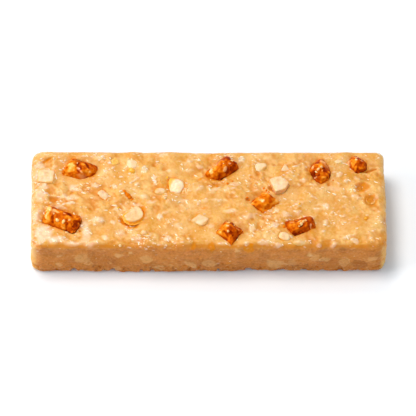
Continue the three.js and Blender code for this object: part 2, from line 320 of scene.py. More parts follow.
def hollows(mesh: Mesh, rounds: int = 5) -> Array:
    """How far each point of a mesh lies below the average of its neighbourhood.

    Args:
        mesh: the surface.
        rounds: how many times the neighbours are averaged, which sets the neighbourhood's size.

    Returns:
        Depth in millimetres: above zero in a hollow and below zero on a crest.
    """
    points, edges = vertex_places(mesh), edge_ends(mesh)
    ends = np.concatenate([edges, edges[:, ::-1]])
    neighbours = np.maximum(np.bincount(ends[:, 0], minlength=len(points)), 1)
    calm = points
    for _ in range(rounds):
        sums = [np.bincount(ends[:, 0], calm[ends[:, 1], axis], len(points)) for axis in range(3)]
        calm = np.stack(sums, axis=1) / neighbours[:, None]
    return ((calm - points) * vertex_normals(mesh)).sum(axis=1)


# ---------------------------------------------------------------- finishes


class Shading:
    """A new material's node tree, with short ways to add what the finishes share."""

    def __init__(self, name: str) -> None:
        """Starts a material with a Principled shader and Object coordinates.

        Args:
            name: the material's name.
        """
        self.material = bpy.data.materials.new(name)
        self.material.use_nodes = True
        self.tree = self.material.node_tree
        self.place = self.add("ShaderNodeTexCoord", "Object")

    def add(self, kind: str, output: str | int, links: dict | None = None, **settings: object) -> Socket:
        """Adds a node and gives one of its outputs."""
        return add_node(self.tree, kind, links, **settings).outputs[output]

    def noise(
        self, size_mm: float, detail: float = 2.0, roughness: float = 0.5, output: str | int = 0
    ) -> Socket:
        """Adds noise whose swells have a size in millimetres."""
        links = {"Vector": self.place, "Scale": 1 / (size_mm * MM), "Detail": detail, "Roughness": roughness}
        return self.add("ShaderNodeTexNoise", output, links)

    def field(self, name: str) -> Socket:
        """Reads a field of the mesh."""
        return self.add("ShaderNodeAttribute", "Fac", attribute_name=name)

    def math(self, operation: str, *values: Socket | float) -> Socket:
        """Adds a sum, a product or the like."""
        return self.add("ShaderNodeMath", 0, dict(enumerate(values)), operation=operation)

    def spread(self, value: Socket, *limits: float) -> Socket:
        """Spreads what lies between the first two limits over the other two, by default 0 to 1."""
        return self.add("ShaderNodeMapRange", 0, {0: value, **dict(enumerate(limits, 1))})

    def mix(self, share: Socket, under: Socket | str, over: str) -> Socket:
        """Lays a tint over a colour, as far as the share says."""
        ground = linear(under) if isinstance(under, str) else under
        return self.add("ShaderNodeMix", 2, {0: share, 6: ground, 7: linear(over)}, data_type="RGBA")

    def bump(
        self, height: Socket, height_mm: float, strength: Socket | float = 1.0, over: Socket | None = None
    ) -> Socket:
        """Adds relief of a height in millimetres, and lays it over another where one is given."""
        links = {"Height": height, "Strength": strength, "Distance": height_mm * MM}
        return self.add("ShaderNodeBump", 0, links | ({"Normal": over} if over else {}))

    def dressed(self, inputs: dict[str, object]) -> Material:
        """Gives the shader its sockets and values, and returns the material."""
        join(self.tree, self.tree.nodes["Principled BSDF"], inputs)
        return self.material


@dataclass(frozen=True)
class DoughFinish:
    """Ground nuts and syrup, pressed and cut: a moist, waxy, faintly translucent body.

    Thin dough over a nut bit lets its cream show. Shade is painted in: orange in the small hollows, the
    broad lows and on the front rim, and amber round the set-in pieces and in the dents. The film of syrup
    on top gives small sharp glints, and pale specks are painted where the glints fall.
    """

    crest: str = "E8BA74"
    body: str = "D9983A"
    # painted shade: the broad lows of the relief and the rounded front rim
    low: str = "CE7C14"
    cut_face: str = "D58436"
    # nut bits under a thin film, and the pale tint of the painted sheen patches and glints
    nut: str = "F1D2B2"
    section: str = "EDBE7A"  # nut cut through, on a cut face
    # toasted bits in oil, and painted shade round the set-in pieces and in the dents
    amber: str = "E08600"
    dark: str = "8E4810"
    # painted shade: the small hollows of the relief
    hollow_shade: str = "CC6C08"
    # painted highlight: pale specks where the glints fall
    glint_tint: str = "FBE4C6"
    mottle_mm: float = 7.0  # patches of richer and poorer dough
    grit_mm: float = 0.9  # ground nut, drawn a little coarse so that it shows
    grit_height_mm: float = 0.24  # on a cut face, and under half of it on top
    ripple_mm: float = 1.1  # in the film of syrup, also drawn a little coarse
    ripple_height_mm: float = 0.22
    fleck_mm: float = 1.0  # painted glint specks, raised a little by bump, drawn a little coarse as well
    fleck_height_mm: float = 0.16
    fleck_bend_mm: float = 0.9
    fleck_turn: float = 38.0  # how far the specks lean from the slab's length, in degrees
    fleck_shape: Vector3 = (0.58, 1.0, 0.8)

    def painted_glints(self, shading: Shading) -> Socket:
        """Adds the nodes for pale specks painted where the glints fall, which crowd where the syrup lies
        thick.

        Args:
            shading: the material's tree.

        Returns:
            The socket that says where a speck lies, from 0 to 1.
        """
        bend = shading.noise(self.fleck_bend_mm, 1.0, output="Color")
        links = {0: bend, 1: (self.fleck_bend_mm * MM,) * 3, 2: shading.place}
        bent = shading.add("ShaderNodeVectorMath", 0, links, operation="MULTIPLY_ADD")
        turn = (0, 0, math.radians(self.fleck_turn))
        leaning = shading.add(
            "ShaderNodeMapping", 0, {"Vector": bent, "Rotation": turn, "Scale": self.fleck_shape}
        )
        links = {"Vector": leaning, "Scale": 1 / (self.fleck_mm * MM)}
        distance = shading.add("ShaderNodeTexVoronoi", "Distance", links)
        lot = distance.node.outputs["Color"]
        chance = shading.math("MULTIPLY_ADD", shading.field("syrup"), 0.75, lot)
        inside = shading.spread(distance, 0.48, 0.26)
        return shading.math("MULTIPLY", inside, shading.spread(chance, 0.88, 1.1))

    def material(self) -> Material:
        """Builds the finish.

        Returns:
            The material, which reads the fields of the dough's own mesh.
        """
        shading = Shading("pressed_nut_dough")
        mottle = shading.noise(self.mottle_mm, 4.0, 0.6)
        grit = shading.noise(self.grit_mm, 3.0, 0.55)
        speckled = shading.math("MULTIPLY_ADD", grit, 0.6, mottle)
        colour = shading.mix(shading.spread(speckled, 0.62, 0.98), self.body, self.crest)
        # The low and hollow tints are painted shade, and amber is partly painted shade round the pieces and
        # in the dents
        tints = {
            "low": self.low,
            "cut": self.cut_face,
            "brown": self.dark,
            "amber": self.amber,
            "nut": self.nut,
            "section": self.section,
            "hollow_shade": self.hollow_shade,
        }
        for name, tint in tints.items():
            colour = shading.mix(shading.field(name), colour, tint)
        cut = shading.field("cut")
        for tint, start, end in ((self.crest, 0.53, 0.68), (self.dark, 0.46, 0.3)):
            speck = shading.spread(grit, start, end, 0.0, 0.3)
            colour = shading.mix(shading.math("MULTIPLY", speck, cut), colour, tint)
        # Painted highlight: pale specks where the glints fall
        painted_glints = self.painted_glints(shading)
        colour = shading.mix(shading.math("MULTIPLY", painted_glints, 0.7), colour, self.glint_tint)
        rough = shading.bump(grit, self.grit_height_mm, shading.spread(cut, 0.0, 1.0, 0.45))
        ripple = shading.bump(shading.noise(self.ripple_mm), self.ripple_height_mm)
        return shading.dressed(
            {
                "Base Color": colour,
                "Normal": shading.bump(painted_glints, self.fleck_height_mm, over=rough),
                "Coat Normal": shading.bump(painted_glints, self.fleck_height_mm, over=ripple),
                "Roughness": shading.spread(mottle, 0.3, 0.7, 0.36, 0.52),
                "IOR": 1.46,
                "Subsurface Weight": 0.45,
                "Subsurface Radius": (1.0, 0.5, 0.22),
                "Subsurface Scale": 1.4 * MM,
                "Specular IOR Level": 0.1,
                "Coat Weight": shading.field("syrup"),
                "Coat Roughness": 0.15,
            }
        )


@dataclass(frozen=True)
class CrustFinish:
    """Baked pretzel crust under a glaze: red-brown where it browned, orange where it broke, and shiny.

    Pale highlight is painted where the glaze runs thick, and shade is painted in its hollows and low down.
    """

    shades: tuple[tuple[float, str], ...] = (
        (0.0, "6A1A00"),
        (0.22, "902A00"),
        (0.45, "BE4C00"),
        (0.68, "E47A0C"),
        (0.88, "F9A436"),
        (1.0, "FFC46C"),
    )
    dough: str = "E4AC70"
    sheen: str = "FFB070"
    highlight_tint: str = "FFC88C"  # painted highlight: a pale tint where the glaze runs thick
    grain_mm: float = 0.9
    grain_height_mm: float = 0.16

    def material(self) -> Material:
        """Builds the finish.

        Returns:
            The material, which reads the `bake`, `doughy` and `glaze` fields of a pretzel piece.
        """
        shading = Shading("glazed_pretzel_crust")
        grain = shading.noise(self.grain_mm, 4.0, 0.6)
        speckled = shading.math("MULTIPLY_ADD", grain, 0.28, shading.field("bake"))
        colour = shading.add("ShaderNodeValToRGB", 0, {0: shading.math("SUBTRACT", speckled, 0.14)})
        stops = colour.node.color_ramp.elements
        while len(stops) < len(self.shades):
            stops.new(0.5)
        for stop, (position, tint) in zip(stops, self.shades):
            stop.position = position
            stop.color = linear(tint)
        colour = shading.mix(shading.field("doughy"), colour, self.dough)
        # Painted highlight: the glaze's pale tint where it runs thick
        glaze = shading.field("glaze")
        return shading.dressed(
            {
                "Base Color": shading.mix(shading.math("MULTIPLY", glaze, 0.4), colour, self.highlight_tint),
                "Normal": shading.bump(grain, self.grain_height_mm),
                "Roughness": 0.36,
                "IOR": 1.5,
                "Subsurface Weight": 0.1,
                "Subsurface Radius": (1.0, 0.35, 0.1),
                "Subsurface Scale": 0.8 * MM,
                "Specular IOR Level": 0.06,
                "Specular Tint": linear(self.sheen),
                "Coat Weight": glaze,
                "Coat Roughness": 0.1,
            }
        )


@dataclass(frozen=True)
class NutFinish:
    """Raw or toasted nut flesh: waxy, translucent at the edges, and darker where oil soaks its foot."""

    name: str
    flesh: str
    shade: str
    foot: str
    film: str = "E2AC5C"  # the dough that laps over its border
    roughness: float = 0.42
    coat: float = 0.15
    scatter_mm: float = 0.9
    fibre_mm: float = 1.8
    fibre_height_mm: float = 0.1

    def material(self) -> Material:
        """Builds the finish.

        Returns:
            The material, which reads the `foot` and `film` fields of a nut piece.
        """
        shading = Shading(self.name)
        fibre = shading.noise(self.fibre_mm, 4.0, 0.55)
        colour = shading.mix(shading.spread(fibre, 0.35, 0.7), self.flesh, self.shade)
        for name, tint in {"foot": self.foot, "film": self.film}.items():
            colour = shading.mix(shading.field(name), colour, tint)
        return shading.dressed(
            {
                "Base Color": colour,
                "Normal": shading.bump(fibre, self.fibre_height_mm, 0.6),
                "Roughness": self.roughness,
                "IOR": 1.47,
                "Subsurface Weight": 0.6,
                "Subsurface Radius": (1.0, 0.55, 0.25),
                "Subsurface Scale": self.scatter_mm * MM,
                "Specular IOR Level": 0.3,
                "Coat Weight": self.coat,
                "Coat Roughness": 0.15,
            }
        )


@dataclass(frozen=True)
class PaperFinish:
    """White backdrop paper: matt, and bright enough to fade into the light."""

    tone: str = "EFF4F9"
    tooth_mm: float = 0.8
    tooth_height_mm: float = 0.02

    def material(self) -> Material:
        """Builds the finish.

        Returns:
            The material, with the faint tooth of paper.
        """
        shading = Shading("white_backdrop_paper")
        return shading.dressed(
            {
                "Base Color": linear(self.tone),
                "Normal": shading.bump(shading.noise(self.tooth_mm), self.tooth_height_mm, 0.2),
                "Roughness": 0.9,
                "Specular IOR Level": 0.1,
            }
        )


# ---------------------------------------------------------------- what lies in the dough


class Tone(Enum):
    """How a nut bit shows through the dough over it, and one tone that is painted sheen."""

    # Painted sheen: broad pale patches where the wet top reflects the light
    PAINTED_SHEEN = "a broad soft patch near the surface"
    # Bare nut; on the top, many of these also paint glints on lumps
    WHITE = "bare and cream"
    CREAM = "under a thin film"
    YELLOW = "under more dough, in oil"
    AMBER = "toasted, in oil"
    RING = "cut across, with a paler rim"
    GREY = "cut across, glassy"
    BROWN = "dark dough"


# How much of each field a tone gives, and how far the bit lifts the film, in millimetres
TONE_FIELDS = {
    Tone.PAINTED_SHEEN: {"nut": 0.66, "gloss": 0.62, "lift": 0.1},
    Tone.WHITE: {"nut": 0.52, "gloss": 1.0, "lift": 0.38},
    Tone.CREAM: {"nut": 0.4, "gloss": 0.55, "lift": 0.3},
    Tone.YELLOW: {"nut": 0.4, "amber": 0.22, "gloss": 0.3, "lift": 0.18},
    Tone.AMBER: {"amber": 0.85, "lift": -0.12},
    Tone.RING: {"nut": 0.5, "lift": 0.1},
    Tone.GREY: {"nut": 0.28, "brown": 0.2, "lift": 0.08},
    Tone.BROWN: {"brown": 0.42, "lift": -0.15},
}


class Side(Enum):
    """A face of the slab: the way it looks, and the two directions along it."""

    TOP = ((0, 0, 1), (1, 0, 0), (0, 1, 0))
    UNDER = ((0, 0, -1), (1, 0, 0), (0, -1, 0))
    FRONT = ((0, -1, 0), (1, 0, 0), (0, 0, 1))
    BACK = ((0, 1, 0), (-1, 0, 0), (0, 0, 1))
    RIGHT = ((1, 0, 0), (0, 1, 0), (0, 0, 1))
    LEFT = ((-1, 0, 0), (0, -1, 0), (0, 0, 1))

    @property
    def axes(self) -> Array:
        """Rows: the way along, the way across and the way out."""
        out, along, across = (np.array(v, float) for v in self.value)
        return np.stack([along, across, out])


# The bits that show on the top: along, across, length, width and turn, in millimetres and degrees
TOP_BITS = {
    # Painted sheen: where the top reflects the light, most of it near the left end
    Tone.PAINTED_SHEEN: (
        (-65.6, -16.0, 7.6, 6.6, -30), (-60.5, -18.8, 7.5, 3.4, 10), (-67.6, 1.8, 4.2, 6.2, -20),
        (-66.0, 5.6, 3.0, 2.4, 0), (-56.4, 0.6, 5.4, 2.2, -8), (-54.3, 5.2, 3.2, 2.6, 0),
        (-59.7, -3.6, 4.4, 1.6, -14), (-49.6, -12.4, 3.4, 3.2, 0), (-48.5, -17.4, 3.6, 5.4, -20),
        (-44.2, -9.8, 3.2, 2.6, 0), (-68.8, -8.0, 2.6, 5.0, 0), (-54.0, -20.4, 5.0, 1.6, 0),
        (-67.6, 15.0, 3.0, 3.6, 0), (-47.4, -20.8, 4.0, 1.4, 0), (-35.0, -15.4, 3.4, 2.6, 0),
        (-29.0, -3.0, 3.0, 1.6, 0), (-68.9, 10.6, 1.8, 5.0, 0),
    ),
    # Many of these are painted glints on lumps of the top, the rest bare nut
    Tone.WHITE: (
        (-26, 12.5, 3.2, 3.0, 20), (-52.5, 4.5, 3.2, 2.2, 0), (-56, -2, 4.8, 1.4, -6),
        (-21.5, 9, 2.0, 2.2, 0), (-38, 5.5, 2.8, 2.0, -30), (-43.5, -10, 3.0, 3.0, 15),
        (-48.5, -15.5, 3.6, 3.4, 0), (-43.5, 18.5, 2.8, 1.6, 0), (-21.5, 7, 1.8, 1.5, -30),
        (13.5, 18, 3.0, 3.0, -20), (16.5, 10.5, 1.4, 1.0, 0), (0, 5, 2.2, 1.6, 0),
        (-19.5, -9, 3.0, 3.2, 0), (17.5, -13.5, 2.7, 3.0, 0), (26, -12.5, 3.6, 3.0, -40),
        (-16.5, -18.5, 3.6, 2.1, 0), (55.5, 8, 2.2, 2.1, 0), (52.5, 7, 1.8, 1.0, -20),
        (55, 0.5, 2.0, 1.3, 0), (42, 0.5, 3.6, 0.9, -20), (47, -3.5, 2.7, 2.5, 0),
        (49.5, -6.5, 1.6, 1.3, 0), (54, -4, 1.3, 1.0, 0), (47, -11, 2.2, 2.1, -40),
        (45.5, -15, 1.8, 1.6, 20), (27.5, -5.8, 2.6, 1.5, 0), (28, -21, 3.1, 2.1, 20),
        (44, -21.5, 2.2, 1.6, 0), (50, -21, 2.7, 1.6, 10), (58.5, -19.5, 3.1, 2.5, 0),
        (53, 11, 2.7, 2.6, 0), (33, -17.5, 1.6, 1.2, 0),
    ),
    Tone.CREAM: (
        (-45.5, 6, 2.8, 2.6, 20), (-53.5, 0, 4.0, 2.0, 10), (-29.5, 8.5, 3.4, 1.1, 30),
        (-26, 0.5, 3.0, 1.8, 0), (-38, -10.5, 2.7, 2.5, 0), (-37, -5, 1.8, 2.0, 0),
        (-41, -18, 2.7, 2.0, 0), (-18, 20, 3.6, 1.6, 10), (-8, 13, 4.0, 1.6, 0),
        (-3.5, 14.5, 2.2, 2.0, 0), (-16, 12.5, 2.8, 1.1, 0), (9, 19.8, 4.0, 1.3, -8),
        (-3.5, 4, 3.6, 2.0, 0), (2.5, 3.5, 4.4, 2.0, 15), (9, 4.5, 4.0, 1.0, 0),
        (-4, -2, 2.2, 2.0, 0), (-1, -1, 2.2, 2.0, 0), (4, -1, 5.8, 1.3, -5),
        (-17, -6.5, 3.8, 1.7, 30), (9, -6, 6.6, 1.9, 2), (17.5, -17.5, 2.2, 2.0, 0),
        (15.5, -20.5, 2.7, 1.8, 0), (23.5, -8.4, 3.6, 1.3, 0), (6, -20.4, 3.6, 1.2, 0),
        (38, 8, 2.4, 1.9, 30), (36, 6, 1.8, 1.2, 20), (42, 6.5, 2.7, 1.6, 0),
        (59.5, 9.5, 1.8, 1.6, 0), (59.5, 0.5, 4.4, 1.9, -25), (43.5, -5, 3.6, 1.3, 0),
        (48, -12.5, 1.8, 1.0, 0), (35.5, -6.8, 2.2, 2.0, 0), (31.5, -7.4, 3.8, 2.4, 0),
        (55.5, -18, 4.5, 1.6, 10), (-62, 14.5, 2.4, 1.6, 30), (-12, -13, 3.0, 1.6, -35),
    ),
    Tone.YELLOW: (
        (-22.5, -2, 4.5, 1.8, 10), (-35.5, -16.5, 2.7, 2.5, 0), (-49.5, -19.8, 4.9, 2.0, 0),
        (-8, 17, 2.8, 2.0, 0), (-10.5, -1, 3.1, 2.5, 0), (16, -8.4, 6.3, 2.0, 8),
        (0.8, -12.6, 2.7, 2.5, 0), (22, -20, 4.9, 2.5, 0), (50.5, 4.5, 5.4, 2.5, 0),
        (36.5, -2.6, 3.6, 3.0, 0), (11, 6.2, 4.0, 2.0, 0), (-29, -18.5, 5.0, 2.0, 0),
    ),
    Tone.AMBER: (
        (-35.5, -4.2, 2.2, 1.0, 0), (-46.5, -20.8, 2.4, 1.1, 0), (17.5, 9.8, 1.4, 1.0, 0),
        (-3.5, 9, 1.8, 1.6, 0), (-1.5, -4.5, 2.2, 1.3, 0), (1.5, -20.8, 2.2, 1.0, 0),
        (63, -9.5, 2.3, 1.7, 0), (-64.8, 6.6, 4.5, 0.9, 4), (-30.6, 12.6, 2.0, 1.5, 0),
        (36.5, -4.6, 1.6, 0.9, 0), (-16.3, 8.8, 2.8, 1.2, 40), (29.6, 1.6, 3.0, 0.9, 20),
    ),
}

# The same on the front: along, up, length, height and turn
FRONT_BITS = {
    Tone.WHITE: ((-31, 14.5, 1.8, 2.2, 0), (40.5, 14, 2.2, 3.0, 0), (11.5, 17, 2.2, 2.6, 0)),
    Tone.CREAM: (
        (-50.5, 10.5, 6.2, 6.0, 0), (-60, 6, 2.2, 3.0, 0), (-36, 13, 3.8, 3.6, 0),
        (-36.5, 3.6, 2.8, 2.8, 0), (-59.5, 12.5, 2.2, 2.6, 0), (-19.8, 4.2, 5.2, 3.4, 0),
        (-7, 6.5, 4.0, 6.2, 30), (0.5, 7.4, 5.8, 5.8, 0), (27.5, 6.4, 7.8, 6.0, 0),
        (46.8, 10.5, 5.2, 3.2, 6),
    ),
    Tone.YELLOW: ((-25, 10.8, 5.0, 6.0, -20), (42.5, 11.5, 3.6, 5.2, 0), (65.5, 11, 3.6, 4.5, 10)),
    Tone.RING: ((-48, 7, 3.0, 3.4, 0), (54.5, 7.8, 4.2, 6.0, 0)),
    Tone.GREY: ((33.5, 8.2, 3.6, 6.0, 10),),
    Tone.AMBER: (
        (8, 7.5, 2.8, 1.8, 0), (-6, 19.2, 2.4, 3.0, 0), (1.5, 18.8, 3.0, 3.6, 0), (16.5, 18.4, 4.6, 5.6, 0),
    ),
    Tone.BROWN: (
        (61, 6, 6.4, 6.0, 0), (53.5, 17.5, 3.6, 3.0, 0), (1.5, 19.0, 3.4, 3.0, 0), (-6, 19.4, 2.6, 2.4, 0),
        (16.0, 19.0, 3.6, 2.0, 0),
    ),
}

# Dents in the top: along, across, length, width, turn, depth, and how strong the amber painted in them as
# shade is
DENTS = (
    (-65.2, 17.6, 5.8, 1.1, 28, 0.4, 0.9),
    (-62.2, -0.2, 4.4, 2.8, -8, 0.7, 0.5),
    (-54.6, 2.6, 2.4, 2.0, 0, 0.2, 0.1),
    (61.7, 5.1, 6.8, 4.6, 14, 1.2, 0.5),
    (65.1, -1.1, 5.8, 5.2, -20, 1.2, 0.5),
    (65.2, 13.0, 6.5, 1.1, 14, 0.7, 0.15),
    (-33.6, -10.4, 5.4, 3.0, -44, 0.8, 0.9),
    (-30.4, -12.6, 6.0, 2.4, 4, 0.5, 0.8),
    (-32.8, 1.2, 2.6, 1.0, -50, 0.5, 0.6),
    (25.4, 4.2, 3.4, 2.2, -40, 1.0, 0.4),
    (15.8, -0.6, 2.4, 1.6, 0, 0.8, 0.3),
    (36.0, -22.0, 3.4, 1.4, 0, 0.5, 0.5),
)

# Crumbs that fell out of the foot at the front: along and width
FOOT_NOTCHES = ((-53.8, 3.2), (-38.5, 2.6), (-22.5, 2.0), (-27.0, 1.6), (16.0, 3.4), (53.0, 2.8), (4.0, 1.6))


@dataclass(frozen=True)
class Bit:
    """A bit of chopped nut in the dough, seen on one side of the slab.

    With the sheen tone, it is a patch of painted sheen instead.
    """

    side: Side
    along: float
    across: float
    length: float
    width: float
    turn: float
    tone: Tone
    seed: int
    shown: float = 1.0  # how clearly it shows
    depth: float = 1.8  # how far it reaches round an edge

    def middle(self, half_size: Array) -> Array:
        """The bit's middle on a slab whose half length, width and height are given.

        Args:
            half_size: half the slab's length, width and height.

        Returns:
            The place, in millimetres.
        """
        along, across, out = self.side.axes
        upright = abs(out[2]) < 0.5
        level = self.across - half_size[2] if upright else self.across
        return UP * half_size[2] + along * self.along + across * level + out * (np.abs(out) @ half_size)

    def closeness(self, points: Array, half_size: Array) -> Array:
        """How deep inside the bit's outline each point lies.

        Args:
            points: places on the slab, in millimetres.
            half_size: half the slab's length, width and height.

        Returns:
            Distance inside the outline in millimetres, below zero outside.
        """
        offset = (points - self.middle(half_size)) @ self.side.axes.T
        u, v = in_oval(offset[:, 0], offset[:, 1], self.length, self.width, self.turn)
        corners = 5 + self.seed % 3
        power = 10
        total = np.abs(offset[:, 2] / self.depth) ** power
        for k in range(corners):
            bearing = 2 * math.pi * (k + 0.6 * float(hash01(k, 1, 2, self.seed))) / corners
            share = 0.82 + 0.3 * float(hash01(k, 3, 4, self.seed))
            ahead = np.maximum(0, (u * math.cos(bearing) + v * math.sin(bearing)) / share)
            total = total + ahead**power
        return (1 - total ** (1 / power)) * min(self.length, self.width) / 2


@dataclass
class Footprint:
    """Plan outline, always convex, of a set-in piece where it meets the dough."""

    corners: Array

    @classmethod
    def of_node(cls, node: str, level: float) -> "Footprint":
        """Finds where a CAD node crosses a level.

        Args:
            node: the node's name.
            level: height of the cut, in millimetres.

        Returns:
            The outline, running anticlockwise.
        """
        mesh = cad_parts[node].data
        ends = vertex_places(mesh)[edge_ends(mesh)]
        low, high = ends[:, 0], ends[:, 1]
        crosses = (low[:, 2] - level) * (high[:, 2] - level) < 0
        low, high = low[crosses], high[crosses]
        share = (level - low[:, 2]) / (high[:, 2] - low[:, 2])
        return cls.around(low[:, :2] + (high - low)[:, :2] * share[:, None])

    @classmethod
    def around(cls, points: Array) -> "Footprint":
        """Finds the convex outline round points in plan.

        Args:
            points: the points, in millimetres.

        Returns:
            The outline, running anticlockwise.
        """
        ordered = sorted({(round(x, 3), round(y, 3)) for x, y in points})
        chains = []
        for run in (ordered, ordered[::-1]):
            chain: list = []
            for p in run:
                while len(chain) > 1:
                    (ax, ay), (bx, by) = chain[-2:]
                    if (bx - ax) * (p[1] - ay) - (by - ay) * (p[0] - ax) > 0:
                        break
                    chain.pop()
                chain.append(p)
            chains += chain[:-1]
        return cls(np.array(chains))

    def distance(self, plan: Array) -> Array:
        """Measures how far each plan point lies from the outline.

        Args:
            plan: the points, in millimetres.

        Returns:
            Distances in millimetres, below zero inside.
        """
        edge = np.roll(self.corners, -1, axis=0) - self.corners
        outward = np.stack([edge[:, 1], -edge[:, 0]], axis=1)
        outward /= np.linalg.norm(outward, axis=1)[:, None]
        from_corner = plan[:, None, :] - self.corners[None]
        beyond = (from_corner * outward[None]).sum(axis=2).max(axis=1)
        share = np.clip((from_corner * edge).sum(axis=2) / (edge**2).sum(axis=1), 0, 1)
        nearest = np.linalg.norm(from_corner - share[..., None] * edge[None], axis=2).min(axis=1)
        return np.where(beyond < 0, beyond, nearest)


@dataclass(frozen=True)
class Bed:
    """How the dough lies round a set-in piece: a dip, a raised lap, shade at its edge, and a cover.

    The shade at its edge is painted, in amber.
    """

    dip: float = 0.1
    lap: float = 0.05
    # painted shade: how strong the amber round the piece's edge is
    oil: float = 0.3
    cover: float = 0.0  # how far it reaches over the border of a piece 4.4 mm wide, less on a smaller one


FLUSH_BED = Bed(0.0, 0.05, 0.0, 0.8)
PROUD_BED = Bed(0.1, 0.0, 0.6, 0.3)
PIT_BED = Bed(0.0, 0.0, 0.9, 0.8)
BEDS = {f"pretzel_piece_{number}": Bed(0.5, 0.0, 0.8) for number in range(1, 9)}
BEDS |= {
    "nut_slab_left": PROUD_BED,
    "nut_wedge_front": PROUD_BED,
    "nut_flake_middle": PROUD_BED,
    "nut_dome_back": FLUSH_BED,
    "nut_slab_back": FLUSH_BED,
    "nut_sliver_back": FLUSH_BED,
    "nut_flake_front": FLUSH_BED,
    "nut_bead_front": FLUSH_BED,
    "nut_cube": Bed(0.25, 0.0, 0.35),
    "peanut_half": Bed(0.15, 0.0, 1.0, 0.22),
    "peanut_tip": Bed(0.1, 0.0, 0.9),
    "toasted_bit_1": PIT_BED,
    "toasted_bit_2": PIT_BED,
    "toasted_bit_3": Bed(0.0, 0.0, 0.5, 1.0),
}


# ---------------------------------------------------------------- the slab


@dataclass
class Skin:
    """The slab's top and sides while they are worked, with a row or a number for each point."""

    places: Array  # on the rounded slab, before it is pressed, in millimetres
    facing: Array  # the way each point faces in plan
    up: Array  # how far it faces up
    points: Array  # worked places, on the frame
    fields: dict[str, Array]

    def raise_field(self, name: str, near: Array | slice, value: Array) -> None:
        """Raises a field to at least `value` at the points `near`."""
        self.fields[name][near] = np.maximum(self.fields[name][near], value)


FIELDS = ("lift", "nut", "amber", "brown", "gloss", "bedded", "section")
ALL = slice(None)


